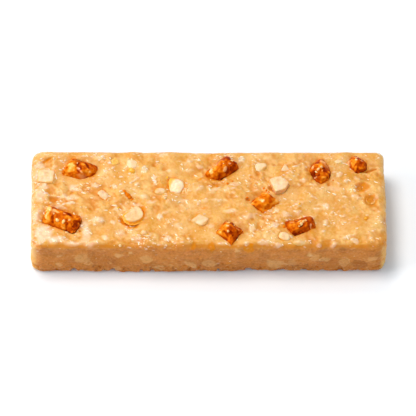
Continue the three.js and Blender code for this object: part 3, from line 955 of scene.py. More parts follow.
@dataclass
class DoughSlab:
    """The pressed slab. Its main form follows the same rule as the solid, on a much finer mesh."""

    length: float = 142.0
    width: float = 45.0
    height: float = 20.0
    front_corner: float = 4.5
    back_corner: float = 3.2
    top_radius: float = 3.0
    foot_radius: float = 1.5
    foot_flare: float = 0.5
    slump: tuple[float, float] = (17.0, 0.5)
    lumps: tuple[float, float] = (5.0, 0.6)
    side_share: float = 0.45
    cell: float = 0.36  # a little under one point of the picture
    rise_cell: float = 0.5
    edge_cells: int = 8
    foot_cells: int = 4
    under_cell: float = 1.1
    dip_reach: float = 2.1
    socket_depth: float = 1.6  # of the dough under a set-in piece
    bed_reach: float = 14.0  # how far from a piece's middle the dough can be sunk
    amber_shade_reach: float = 0.9  # how far the amber painted as shade beside a piece spreads
    top_bits: int = 260  # how many small bits are strewn over the top
    side_bits: int = 330  # the same, of which each other side takes a share
    seed: int = 7

    @property
    def half(self) -> Array:
        """Half the length, the width and the height."""
        return np.array([self.length, self.width, self.height]) / 2

    def lines(self, half: float) -> Array:
        """Places the grid lines along one way in plan, gathered in the soft edges.

        Args:
            half: half the slab's size that way.

        Returns:
            The places, from one edge to the other.
        """
        flat = half - self.top_radius
        edge = self.edge_lines()[1:]
        middle = np.linspace(-flat, flat, round(2 * flat / self.cell) + 1)
        return np.concatenate([-flat - edge[::-1], middle, flat + edge])

    def edge_lines(self) -> Array:
        """How far the lines of a soft edge lie beyond the flat, so that they round it evenly."""
        return self.top_radius * np.tan(np.linspace(0, math.pi / 4, self.edge_cells + 1))

    def height_lines(self) -> Array:
        """Places the grid lines of the sides.

        Returns:
            Their heights, from the foot up.
        """
        foot = np.linspace(0, self.foot_radius, self.foot_cells + 1)[:-1]
        top = self.height - self.top_radius
        middle = np.linspace(self.foot_radius, top, round((top - self.foot_radius) / self.rise_cell) + 1)
        return np.concatenate([foot, middle, top + self.edge_lines()[1:]])

    def sharp_box(self) -> tuple[Array, list, Array]:
        """Lays the grid over the top and the four sides of a sharp box.

        Returns:
            The points, the faces, and the numbers of the points round the foot in order.
        """
        grid = [self.lines(self.length / 2), self.lines(self.width / 2), self.height_lines()]
        nx, ny, nz = (len(lines) - 1 for lines in grid)

        def patch(count_u: int, count_v: int, place: Callable) -> Array:
            """Numbers the corners of one face's quads.

            Args:
                count_u: how many quads the face has one way.
                count_v: how many it has the other way.
                place: gives the grid steps of a corner.

            Returns:
                One row of four for each quad.
            """
            u, v = np.meshgrid(np.arange(count_u), np.arange(count_v), indexing="ij")
            quads = [place(u + du, v + dv) for du, dv in ((0, 0), (1, 0), (1, 1), (0, 1))]
            keys = [(i * (ny + 1) + j) * (nz + 1) + k for i, j, k in quads]
            return np.stack([np.broadcast_to(key, u.shape).ravel() for key in keys], axis=1)

        faces = [
            patch(nx, ny, lambda u, v: (u, v, nz)),
            patch(nx, nz, lambda u, v: (u, 0, v)),
            patch(nx, nz, lambda u, v: (nx - u, ny, v)),
            patch(ny, nz, lambda u, v: (nx, u, v)),
            patch(ny, nz, lambda u, v: (0, ny - u, v)),
        ]
        keys, order = np.unique(np.concatenate(faces), return_inverse=True)
        steps = np.stack([keys // (nz + 1) // (ny + 1), keys // (nz + 1) % (ny + 1), keys % (nz + 1)])
        points = np.stack([lines[step] for lines, step in zip(grid, steps)], axis=1)
        ring = np.flatnonzero(steps[2] == 0)
        ring = ring[np.argsort(np.arctan2(points[ring, 1], points[ring, 0]))]
        return points, order.reshape(-1, 4).tolist(), ring

    def rounded(self, sharp: Array) -> Skin:
        """Rounds the sharp box.

        Args:
            sharp: points of the sharp box.

        Returns:
            The rounded slab, which isn't pressed yet.
        """
        corner = np.where(sharp[:, 1] < 0, self.front_corner, self.back_corner)
        limit = self.half[:2] - corner[:, None]
        inner = np.clip(sharp[:, :2], -limit, limit)
        out = sharp[:, :2] - inner
        facing = out / np.maximum(np.linalg.norm(out, axis=1), 1e-9)[:, None]
        inset = corner - np.abs(out).max(axis=1)
        depth = self.height - sharp[:, 2]
        edge = (inset < self.top_radius) & (depth < self.top_radius)
        a, b = self.top_radius - inset, self.top_radius - depth
        away = np.maximum(np.hypot(a, b), 1e-9)
        up = np.where(edge, b / away, (depth < 1e-6).astype(float))
        foot = ~edge & (sharp[:, 2] < self.foot_radius)
        angle = (1 - sharp[:, 2] / self.foot_radius) * math.pi / 2
        inset = np.where(edge, self.top_radius * (1 - a / away), inset)
        inset = np.where(foot, self.foot_radius * (1 - np.cos(angle)), inset)
        depth = np.where(edge, self.top_radius * (1 - b / away), depth)
        depth = np.where(foot, self.height - self.foot_radius * (1 - np.sin(angle)), depth)
        places = np.column_stack([inner + facing * (corner - inset)[:, None], self.height - depth])
        return Skin(places, facing, up, places, {name: np.zeros(len(places)) for name in FIELDS})

    def unevenness(self, places: Array, share: float) -> Array:
        """The slab's unevenness, outwards, as in the solid; `share` scales the small lumps."""
        swell = self.slump[1] * noise(places, self.slump[0], 1)
        return swell + share * self.lumps[1] * noise(places, self.lumps[0], 2)

    def press(self, skin: Skin) -> Array:
        """Leans the sides out to the foot, presses the whole uneven, and lays it where the solid lies.

        Args:
            skin: the rounded slab.

        Returns:
            How far the whole was moved.
        """
        flare = self.foot_flare * (1 - skin.places[:, 2] / self.height)
        outward = self.unevenness(skin.places, self.side_share) * (1 - skin.up) + flare
        upward = self.unevenness(skin.places, 1.0) * skin.up
        points = skin.places + np.column_stack([skin.facing * outward[:, None], upward])
        low, high = (np.array(corner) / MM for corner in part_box("dough_slab"))
        shift = (low + high) / 2 - (points.min(axis=0) + points.max(axis=0)) / 2
        shift[2] = low[2] - points[:, 2].min()
        skin.points = points + shift
        return shift

    def footprints(self, shift: Array) -> dict[str, Footprint]:
        """Finds the outlines of the set-in pieces where each meets the dough.

        Args:
            shift: how far the slab was moved onto the frame.

        Returns:
            An outline for each node.
        """
        found = {}
        for node in sorted(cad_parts):
            if node == "dough_slab":
                continue
            low, high = (np.array(corner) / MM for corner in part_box(node))
            at = np.array([[*((low + high) / 2 - shift)[:2], self.height]])
            level = self.height + shift[2] + float(self.unevenness(at, 1.0)[0]) - 0.1
            found[node] = Footprint.of_node(node, level)
        return found

    def settle_round_pieces(self, skin: Skin, prints: dict[str, Footprint]) -> None:
        """Sinks the dough round and under the set-in pieces, or laps it up against them.

        Args:
            skin: the slab, to whose fields the amber painted as shade round the pieces is added.
            prints: the pieces' outlines.
        """
        sunk = np.zeros(len(skin.points))
        top = np.flatnonzero(skin.up > 0.3)
        for index, (node, outline) in enumerate(prints.items()):
            bed = BEDS.get(node, Bed())
            from_middle = np.abs(skin.points[top, :2] - outline.corners.mean(axis=0))
            near = top[(from_middle < self.bed_reach).all(axis=1)]
            away = outline.distance(skin.points[near, :2])
            outside = np.maximum(away, 0)
            wander = noise(skin.points[near], 2.6, 40 + index)
            dip = bed.dip * (1 + 0.35 * wander) * np.exp(-((outside / self.dip_reach) ** 2))
            lap = bed.lap * (1 + 0.5 * wander) * np.exp(-(((away - 0.3) / 0.8) ** 2))
            cover = bed.cover * min(1.2, -away.min() / 2.2) * (1 + 0.8 * wander)
            socket = self.socket_depth * ramp(0.05, -0.6, away + cover + 0.12 * wander)
            low = dip - lap + socket
            sunk[near] = np.where(np.abs(low) > np.abs(sunk[near]), low, sunk[near])
            skin.raise_field("bedded", near, ramp(0.5, 0.0, away))
            # Painted shade: amber round the piece's edge, where it meets the dough
            oil = bed.oil * np.exp(-((outside / self.amber_shade_reach) ** 2)) * ramp(-0.6, 0.5, wander)
            skin.raise_field("amber", near, oil)
        skin.points[:, 2] -= sunk * skin.up

    def bits(self) -> list[Bit]:
        """Lists all the nut bits: those that can be told apart, and the small ones strewn between them.

        Returns:
            The bits, each with a seed of its own.
        """
        found = []
        for side, table in ((Side.TOP, TOP_BITS), (Side.FRONT, FRONT_BITS)):
            for tone, rows in table.items():
                found += [Bit(side, *row, tone, len(found) + 3 + place) for place, row in enumerate(rows)]
        draw = np.random.default_rng(self.seed)
        spans = {
            Side.TOP: (self.length, self.width, self.top_bits),
            Side.UNDER: (self.length, self.width, self.side_bits // 2),
            Side.FRONT: (self.length, self.height, self.side_bits // 5),
            Side.BACK: (self.length, self.height, self.side_bits // 3),
            Side.LEFT: (self.width, self.height, self.side_bits // 9),
            Side.RIGHT: (self.width, self.height, self.side_bits // 9),
        }
        tones = [Tone.CREAM, Tone.WHITE, Tone.YELLOW, Tone.AMBER, Tone.RING]
        for side, (long, wide, count) in spans.items():
            widest = 1.2 if side in (Side.TOP, Side.FRONT) else 3.6
            for _ in range(count):
                along = draw.uniform(-long / 2 + 1, long / 2 - 1)
                share = draw.uniform(0.05, 0.95)
                across = share * wide if wide == self.height else (share - 0.5) * wide
                size = draw.uniform(0.7, 1.0) + widest * draw.uniform() ** 2
                slim = draw.uniform(0.35, 0.9)
                turn = draw.uniform(-40, 20) if side is Side.TOP else draw.uniform(0, 180)
                tone = tones[draw.choice(5, p=[0.45, 0.2, 0.2, 0.1, 0.05])]
                shown = draw.uniform(0.3, 0.8)
                found.append(Bit(side, along, across, size, size * slim, turn, tone, len(found) + 3, shown))
        return found

    def show_bits(self, skin: Skin) -> None:
        """Lets the nut bits lift the dough and show through it.

        Args:
            skin: the slab, to whose fields the bits add.
        """
        places = skin.places
        low, high = places.min(axis=0), places.max(axis=0)
        bent = [layers(places, (0.5, 1.7, 61 + axis), (0.25, 0.8, 64 + axis)) for axis in range(3)]
        torn = places + np.stack(bent, axis=1)
        for bit in self.bits():
            span = max(bit.length, bit.width) * 0.9 + 1.4
            middle = np.clip(bit.middle(self.half), low, high)
            near = np.flatnonzero((np.abs(places - middle) < span).all(axis=1))
            if len(near):
                self.show_bit(bit, skin, near, bit.closeness(torn[near], self.half))

    def show_bit(self, bit: Bit, skin: Skin, near: Array, inside: Array) -> None:
        """Lets one bit lift the dough and show through it.

        Args:
            bit: the bit.
            skin: the slab, to whose fields it adds.
            near: numbers of the points round it.
            inside: how deep inside its outline they lie, in millimetres.
        """
        on_top = bit.side is Side.TOP
        film = bit.shown * (0.75 + 0.5 * float(hash01(bit.seed, 5, 6, 1)))
        # Painted sheen patches get soft borders
        soft = 0.6 if bit.tone is Tone.PAINTED_SHEEN else 0.0
        for name, amount in TONE_FIELDS[bit.tone].items():
            if name == "lift":
                swell = amount * (1 if on_top else 0.35)
                skin.fields["lift"][near] += swell * ramp(-0.6 - soft, 0.8 + soft, inside)
                continue
            border = (-0.2 - soft, 0.45 + soft)
            if name == "gloss":
                border = (-0.5 - soft, 0.4)
            elif name == "nut" and not on_top:
                name, border = "section", (-0.15, 0.3)
            shown = amount * film * ramp(*border, inside)
            if bit.tone is Tone.RING:
                shown *= 1 - 0.55 * ramp(0.35, 0.7, inside)
            skin.raise_field(name, near, shown)

    def dent(self, skin: Skin) -> None:
        """Presses the named dents into the top, raises a low ring round each, and paints amber shade in it.

        Args:
            skin: the slab, to whose fields they add.
        """
        for along, across, length, width, turn, depth, oil in DENTS:
            x, y, _ = skin.places.T
            away = np.hypot(*in_oval(x - along, y - across, length, width, turn))
            skin.fields["lift"] -= depth * ramp(1.15, 0.3, away) * skin.up
            skin.fields["lift"] += 0.1 * np.exp(-(((away - 1.35) / 0.3) ** 2)) * skin.up
            # Painted shade: amber in the dent
            skin.raise_field("amber", ALL, oil * ramp(1.1, 0.4, away) * skin.up)

    def fine_relief(self, skin: Skin) -> Array:
        """Makes small lumps, flakes and pits, calm in some stretches and busy in others.

        Args:
            skin: the slab.

        Returns:
            Heights in millimetres, outwards.
        """
        places, up = skin.places, skin.up
        busy = 0.3 + 0.7 * ramp(-0.35, 0.3, noise(places, 11.0, 11))
        busy *= 0.5 + 0.5 * ramp(0.98, 0.6, places[:, 1] / (self.width / 2))
        lean = np.array([[0.8, 0.6], [-0.6, 0.8]])
        bent = np.stack([0.4 * noise(places, 4.5, 24 + axis) for axis in range(2)], axis=1)
        flakes = (places[:, :2] + bent) @ lean / np.array([1.5, 1.0])
        top = (
            0.3 * noise(places, 4.2, 12)
            + 0.19 * packed_lumps(flakes, 2.1, 14)
            + 0.09 * packed_lumps(flakes + bent, 1.1, 15)
            + 0.03 * noise(places, 0.8, 15)
        )
        pits = -0.6 * np.maximum(0, noise(places, 2.2, 16) - 0.5)
        low = ramp(8.0, 1.0, places[:, 2])
        crumb = layers(places, (0.13, 2.6, 17), (0.06 + 0.12 * low, 1.0, 18))
        side = crumb - (0.5 + 1.2 * low) * np.maximum(0, noise(places, 1.9, 19) - 0.4)
        edge = 1.3 * up * (1 - up) * noise(places, 3.4, 77) * (places[:, 1] < 0)
        return (top + pits) * busy * up + side * (1 - up) + edge

    def ragged_foot(self, skin: Skin) -> Array:
        """Makes crumbs stand out or go missing along the foot.

        Args:
            skin: the slab.

        Returns:
            Distances in millimetres, outwards.
        """
        x, y, z = skin.places.T
        ragged = 0.4 * noise(skin.places, 2.3, 21) - 0.9 * np.maximum(0, noise(skin.places, 1.5, 22) - 0.2)
        for along, width in FOOT_NOTCHES:
            ragged -= 0.9 * (y < 0) * ramp(1.0, 0.4, np.abs(x - along) / (width / 2))
        return ramp(3.6, 0.6, z) * (1 - skin.up) * ragged

    def syrup(self, skin: Skin, depth: Array) -> Array:
        """How thick the glossy film lies: on crests and bare bits, and hardly at all on a cut face.

        Args:
            skin: the slab.
            depth: how deep in a hollow each point lies.

        Returns:
            The film's weight, from 0 to 1.
        """
        x, _, z = skin.points.T
        patches = 0.15 + 0.5 * ramp(-0.1, 0.6, noise(skin.points, 5.0, 31))
        end = 0.75 * ramp(self.length / 2 - 10, self.length / 2 - 2, -x)
        film = np.maximum(np.maximum(patches, skin.fields["gloss"]), end) * ramp(0.12, -0.06, depth)
        end *= ramp(0.45 * self.height, 0.9 * self.height, z)
        return np.clip(film, 0, 0.95) * (0.08 + 0.92 * np.maximum(ramp(0.1, 0.6, skin.up), 0.5 * end))

    def cut_mottle(self, skin: Skin, cut: Array) -> Array:
        """Darker grounds and specks of a cut face, and painted shade towards the foot.

        Args:
            skin: the slab.
            cut: how far each point lies on a cut face.

        Returns:
            How dark each point is, from 0 to 1.
        """
        points, level = skin.points, skin.points[:, 2]
        grounds = 0.22 * ramp(-0.1, 0.7, noise(points, 4.6, 71))
        grounds += 0.14 * ramp(0.0, 0.7, noise(points, 1.5, 72))
        low = ramp(0.55 * self.height, 0.0, level)
        specks = (0.2 + 0.5 * low) * ramp(0.45, 0.75, noise(points, 1.0, 73))
        # Painted shade: the cut face darker towards the foot
        shade = 0.2 * ramp(0.75 * self.height, 0.0, level)
        return np.clip(grounds + specks + shade, 0, 0.85) * cut

    def underside(self, ring: Array) -> tuple[Array, list]:
        """Fills the foot ring with an even flat mesh.

        Args:
            ring: places of the points round the foot, in order.

        Returns:
            New places inside the ring, and faces whose numbers count the ring first.
        """
        half = self.half[:2] - self.foot_radius - self.under_cell
        axes = [np.arange(-h, h, self.under_cell) for h in half]
        inner = np.stack(np.meshgrid(*axes, indexing="ij"), axis=-1).reshape(-1, 2)
        corner = np.maximum(0, np.abs(inner) - half + self.front_corner)
        inner = inner[np.hypot(*corner.T) < self.front_corner - self.under_cell / 2]
        plan = [Vector(p) for p in np.concatenate([ring[:, :2], inner])]
        _, _, faces, *_ = delaunay_2d_cdt(plan, [], [list(range(len(ring)))], 1, 1e-7)
        flat = np.full((len(inner), 1), ring[:, 2].mean())
        return np.hstack([inner, flat]), [face[::-1] for face in faces]

    def build(self) -> Object:
        """Makes the slab.

        Returns:
            The slab, with the fields that its finish reads.
        """
        sharp, faces, ring = self.sharp_box()
        skin = self.rounded(sharp)
        shift = self.press(skin)
        self.show_bits(skin)
        self.dent(skin)
        rise = (skin.fields["lift"] + self.fine_relief(skin)) * ramp(0.0, 1.2, skin.places[:, 2])
        out = np.column_stack([skin.facing * np.sqrt(1 - skin.up**2)[:, None], skin.up])
        skin.points += out * rise[:, None]
        skin.points[:, :2] += skin.facing * self.ragged_foot(skin)[:, None]
        self.settle_round_pieces(skin, self.footprints(shift))
        inner, floor_faces = self.underside(skin.points[ring])
        order = np.concatenate([ring, len(sharp) + np.arange(len(inner))])
        faces += [[int(order[i]) for i in face] for face in floor_faces]
        slab = mesh_object("dough", np.concatenate([skin.points, inner]), faces)
        self.colour(slab.data, skin, rise)
        slab.data.materials.append(DoughFinish().material())
        return slab

    def colour(self, mesh: Mesh, skin: Skin, rise: Array) -> None:
        """Stores the fields that the finish reads.

        Args:
            mesh: the slab's mesh, in which the underside comes last.
            skin: its top and sides.
            rise: how far the fine relief lifts each of their points.
        """
        extra = len(mesh.vertices) - len(rise)

        def whole(values: Array, under: float = 0.0) -> Array:
            """Adds the underside's value to the values of the rest."""
            return np.concatenate([values, np.full(extra, under)])

        up, across, fields = skin.up, skin.facing[:, 1], skin.fields
        depth = hollows(mesh)
        torn = up + 0.12 * noise(skin.points, 3.0, 75) + 0.08 * noise(skin.points, 1.2, 76)
        torn += 0.3 * (across > 0)
        cut = ramp(0.75, 0.2, torn) * ramp(0.7, 0.98, np.abs(across))
        skin.raise_field("brown", ALL, self.cut_mottle(skin, cut))
        # Painted shade: small hollows, broad lows, and the front rim that turns from the light; hollows less
        # near the pieces
        open_air = 1 - 0.7 * whole(np.maximum(fields["bedded"], fields["amber"]))
        rim = 0.85 * ramp(0.99, 0.75, up) * ramp(0.2, 0.6, up) * (across < 0)
        shown = {name: whole(fields[name]) for name in ("nut", "amber", "brown", "section")} | {
            "cut": whole(cut, 1.0),
            "hollow_shade": 0.64 * ramp(0.02, 0.26, depth) * open_air,
            "syrup": whole(self.syrup(skin, depth[: len(rise)])),
            "low": whole(np.maximum(0.75 * ramp(0.1, -0.45, rise), rim)),
        }
        for name, values in shown.items():
            set_field(mesh, name, values)


# ---------------------------------------------------------------- the set-in pieces


@dataclass
class SetInPiece:
    """A piece whose form is a CAD node's, remeshed fine so that its surface can be worked."""

    node: str
    voxel: float = 0.24

    def fine_copy(self) -> Object:
        """Copies the node's mesh and remeshes it evenly.

        Returns:
            A new object of the same form.
        """
        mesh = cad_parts[self.node].data.copy()
        work = bmesh.new()
        work.from_mesh(mesh)
        bmesh.ops.remove_doubles(work, verts=work.verts, dist=0.001 * MM)
        work.to_mesh(mesh)
        work.free()
        rough = linked_object(self.node + "_rough", mesh)
        even = rough.modifiers.new("even", "REMESH")
        even.mode = "VOXEL"
        even.voxel_size = self.voxel * MM
        even.use_smooth_shade = True
        fine = evaluated_copy(rough)
        fine.materials.clear()
        return linked_object("dressed_" + self.node, fine)

    def calm(self, mesh: Mesh, rounds: int) -> tuple[Array, Array]:
        """Softens the voxel steps.

        Args:
            mesh: the remeshed piece.
            rounds: how often each point moves to the middle of its neighbours.

        Returns:
            The new places and their normals.
        """
        work = bmesh.new()
        work.from_mesh(mesh)
        ways = {"use_axis_x": True, "use_axis_y": True, "use_axis_z": True}
        for _ in range(rounds):
            bmesh.ops.smooth_vert(work, verts=work.verts, factor=0.5, **ways)
        work.to_mesh(mesh)
        work.free()
        return vertex_places(mesh), vertex_normals(mesh)

    def write(self, mesh: Mesh, places: Array) -> None:
        """Puts new vertex places into the mesh."""
        mesh.vertices.foreach_set("co", (places * MM).astype(np.float32).ravel())
        mesh.update()

    def keep(self, piece: Object, slot: str, finish: Material, fields: dict[str, Array]) -> Object:
        """Dresses the piece, hangs it on the body, and hides the CAD node that it replaces.

        Args:
            piece: the worked piece.
            slot: the record's material slot; not used.
            finish: its material.
            fields: what the material reads.

        Returns:
            The finished piece.
        """
        for name, values in fields.items():
            set_field(piece.data, name, values)
        piece.data.materials.append(finish)
        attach(piece, BODY)
        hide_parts(self.node)
        return piece


class Bake(Enum):
    """How a patch of pretzel crust has baked or broken, with painted highlight and shade on some."""

    BROKEN = "pale orange crumb where it broke"
    # browned crust, and painted shade in holes, broken ends and along lower edges
    BURNT = "dark red-brown crust"
    DOUGHY = "a smear of dough over it"
    # painted highlight: paler crust and a pale tint where the glaze shines, over a glossy coat that is real
    GLAZE_HIGHLIGHT = "a thick shiny run of glaze"


# How much lighter each makes the crust; for the glaze, this is painted highlight
BAKING = {Bake.BROKEN: 0.28, Bake.BURNT: -0.34, Bake.DOUGHY: 0.1, Bake.GLAZE_HIGHLIGHT: 0.25}


@dataclass(frozen=True)
class CrustPatch:
    """A patch of crust, seen from above: place, size and turn, and how far it stands out."""

    bake: Bake
    along: float
    across: float
    length: float
    width: float
    turn: float
    rise: float = 0.0
    amount: float = 0.9

    def cover(self, places: Array, warp: Array) -> Array:
        """How fully the patch covers each place.

        Args:
            places: places on the crust, in millimetres.
            warp: unevenness that frays its border.

        Returns:
            Shares from 0 to 1.
        """
        from_middle = (places[:, 0] - self.along, places[:, 1] - self.across)
        away = np.hypot(*in_oval(*from_middle, self.length, self.width, self.turn))
        return ramp(1.5, 0.3, away + 0.45 * warp)


@dataclass
class PretzelPiece(SetInPiece):
    """A bit of crunchy glazed pretzel: blistered crust, and paler where it broke."""

    voxel: float = 0.2
    patches: tuple[CrustPatch, ...] = ()
    seed: int = 0
    paler: float = 0.0  # how much lighter than the others it baked

    def build(self, finish: Material) -> Object:
        """Works the crust and dresses the piece.

        Args:
            finish: the crust's material.

        Returns:
            The finished piece.
        """
        piece = self.fine_copy()
        mesh = piece.data
        places, normals = self.calm(mesh, 2)
        seed = self.seed
        blister = layers(places, (0.3, 3.0, seed), (0.17, 1.6, seed + 1), (0.1, 0.8, seed + 2))
        blister -= 0.4 * np.maximum(0, noise(places, 2.1, seed + 3) - 0.35)
        warp = layers(places, (1.0, 1.3, seed + 4), (0.6, 0.7, seed + 5))
        bake = 0.48 + 0.16 * noise(places, 2.2, seed + 6) + 0.15 * noise(places, 0.9, seed + 7)
        bake += self.paler
        smear = np.zeros(len(places))
        glaze = np.zeros(len(places))
        for patch in self.patches:
            cover = patch.amount * patch.cover(places, warp)
            blister += patch.rise * cover
            bake += BAKING[patch.bake] * cover
            if patch.bake is Bake.DOUGHY:
                smear = np.maximum(smear, cover)
            if patch.bake is Bake.GLAZE_HIGHLIGHT:
                glaze = np.maximum(glaze, ramp(0.35, 0.8, cover))
        self.write(mesh, places + normals * blister[:, None])
        depth = hollows(mesh)
        # Painted shade and highlight: hollows darker, crests lighter, and the lower part of the piece darker
        bake += 0.2 * ramp(0.0, -0.14, depth) - 0.35 * ramp(0.0, 0.16, depth)
        bake -= 0.25 * ramp(0.75, 0.45, height_shares(places))
        glaze = np.maximum(glaze, 0.3 * smear) * ramp(0.1, 0.0, depth)
        fields = {"bake": np.clip(bake, 0, 1), "glaze": glaze, "doughy": smear}
        return self.keep(piece, "pretzel", finish, fields)


@dataclass
class NutPiece(SetInPiece):
    """A bit of chopped nut."""

    slot: str = "nut"
    seed: int = 0
    lapped: float = 0.0  # how far the dough's film laps over its border, in millimetres
    dish: float = 0.0  # how far the middle of its top is sunk
    sink: float = 0.0  # how far its whole top lies lower than the solid's
    veil: float = 0.0  # how far a thin film hides all of it
    worn: int = 3  # how soft its edges are
    lumpy: float = 1.0  # how crumbly its surface is
    crown: float = 0.0  # how far its top rounds down to the rim
    oily: float = 1.0  # how strongly oil colours its steep sides

    def build(self, finish: Material) -> Object:
        """Works the surface and dresses the piece.

        Args:
            finish: the nut's material.

        Returns:
            The finished piece.
        """
        piece = self.fine_copy()
        places, normals = self.calm(piece.data, self.worn)
        worn = layers(places, (0.1, 2.0, self.seed), (0.08, 1.1, self.seed + 1), (0.03, 0.6, self.seed + 5))
        self.write(piece.data, self.carve(places) + normals * (self.lumpy * worn)[:, None])
        steep = ramp(0.75, 0.25, normals[:, 2] + 0.2 * noise(places, 1.6, self.seed + 2))
        steep = np.maximum(steep, self.soaked(places))
        film = self.veil * (1 + 0.5 * noise(places, 1.8, self.seed + 4)) * (1 - 0.8 * steep)
        if self.lapped:
            away = self.top_outline(places).distance(places[:, :2])
            away += 0.6 * noise(places, 1.4, self.seed + 3)
            film = np.maximum(film, ramp(-self.lapped, 0.0, away))
            steep *= 0.6
        return self.keep(piece, self.slot, finish, {"foot": self.oily * steep, "film": film})

    def top_outline(self, places: Array) -> Footprint:
        """Outline of the piece's top third in plan."""
        level = places[:, 2].max() - 0.35 * np.ptp(places[:, 2])
        return Footprint.around(places[places[:, 2] > level, :2])

    def soaked(self, places: Array) -> Array:
        """Where oil has soaked in from above: nowhere, on most bits."""
        return np.zeros(len(places))

    def carve(self, places: Array) -> Array:
        """Sinks the top of a bit that lies low; others keep theirs.

        Args:
            places: the bit's places.

        Returns:
            The new places.
        """
        local = box_shares(places)
        away = np.hypot(local[:, 0], local[:, 1])
        sunk = self.sink + self.dish * ramp(1.0, 0.5, away) + self.crown * away**2
        return places - np.outer(sunk * ramp(-0.2, 0.6, local[:, 2]), UP)


@dataclass
class PeanutHalf(NutPiece):
    """Half a peanut with its flat face up: a shallow dish and a curved groove."""

    dish: float = 0.25
    worn: int = 1
    lumpy: float = 0.6
    groove: float = 0.12
    shoulder: float = 1.0  # how far its front rim rounds down; its amber is oil, and painted shade on the side away from the light

    def rim(self, places: Array) -> Array:
        """How far each place lies in the front rim.

        Args:
            places: the peanut's places.

        Returns:
            Shares from 0 to 1.
        """
        local = box_shares(places)
        front = ramp(-0.7, 0.0, 0.5 * local[:, 0] - local[:, 1])
        return ramp(-1.1, -0.45, self.top_outline(places).distance(places[:, :2])) * front

    def soaked(self, places: Array) -> Array:
        """Oil soaks the front rim, and its amber is also painted shade on the side away from the light."""
        return ramp(0.0, 0.35, self.rim(places))

    def carve(self, places: Array) -> Array:
        """Presses the dish and the groove into the top, and rounds the front rim.

        Args:
            places: the peanut's places.

        Returns:
            The new places.
        """
        local = box_shares(places)
        away = np.hypot(local[:, 0] - 0.15, local[:, 1])
        arc = np.hypot(local[:, 0] + 0.75, local[:, 1] - 0.1) - 0.55
        sunk = self.dish * ramp(0.75, 0.1, away) + self.groove * np.exp(-((arc / 0.12) ** 2))
        sunk -= 0.12 * ramp(0.05, 0.3, arc) * ramp(0.5, 0.3, arc)
        sunk *= ramp(1.0, 0.75, np.hypot(local[:, 0], local[:, 1]))
        sunk += self.shoulder * self.rim(places)
        return places - np.outer(sunk * ramp(0.2, 0.8, local[:, 2]), UP)


@dataclass
class PeanutTip(NutPiece):
    """The knobbly end of a peanut: two lobes with a crease between them, and oil on the rear one."""

    crease: float = 0.2
    worn: int = 6

    def lobes(self, places: Array) -> tuple[Array, Array]:
        """Measures where each place lies on the two lobes.

        Args:
            places: the peanut's places.

        Returns:
            How far they lie in front of the crease and from the middle, as shares of the peanut's size.
        """
        local = box_shares(places)
        side = (local[:, 0] * 0.75 - local[:, 1] * 0.65) + 0.12 * noise(places, 1.5, self.seed + 6)
        return side + 0.15, np.hypot(local[:, 0], local[:, 1])

    def soaked(self, places: Array) -> Array:
        """Oil on the rear lobe, strongest at its outer edge, and a little in the crease.

        Args:
            places: the peanut's places.

        Returns:
            How far each is soaked, from 0 to 1.
        """
        side, away = self.lobes(places)
        oily = 0.9 * ramp(-0.1, -0.5, side) * ramp(0.2, 0.8, away)
        return np.maximum(oily, 0.15 * np.exp(-((side / 0.12) ** 2)))

    def carve(self, places: Array) -> Array:
        """Rounds the top off and presses the crease into it.

        Args:
            places: the peanut's places.

        Returns:
            The new places.
        """
        side, away = self.lobes(places)
        sunk = self.crease * np.exp(-((side / 0.14) ** 2)) + 0.7 * away**2
        return places - np.outer(sunk * ramp(0.35, 0.8, height_shares(places)), UP)


# ---------------------------------------------------------------- crumbs and grains


class Grain(Enum):
    """A kind of grain: its least and greatest turn, and its least and greatest stretch."""

    ROUND = ((0, 0, 0), (math.tau,) * 3, (0.8, 0.6, 0.45), (1.25, 1.0, 0.8))
    SLIVER = ((-0.3, -0.3, -1.3), (0.3, 0.3, 0.3), (1.1, 0.4, 0.4), (2.2, 0.6, 0.5))


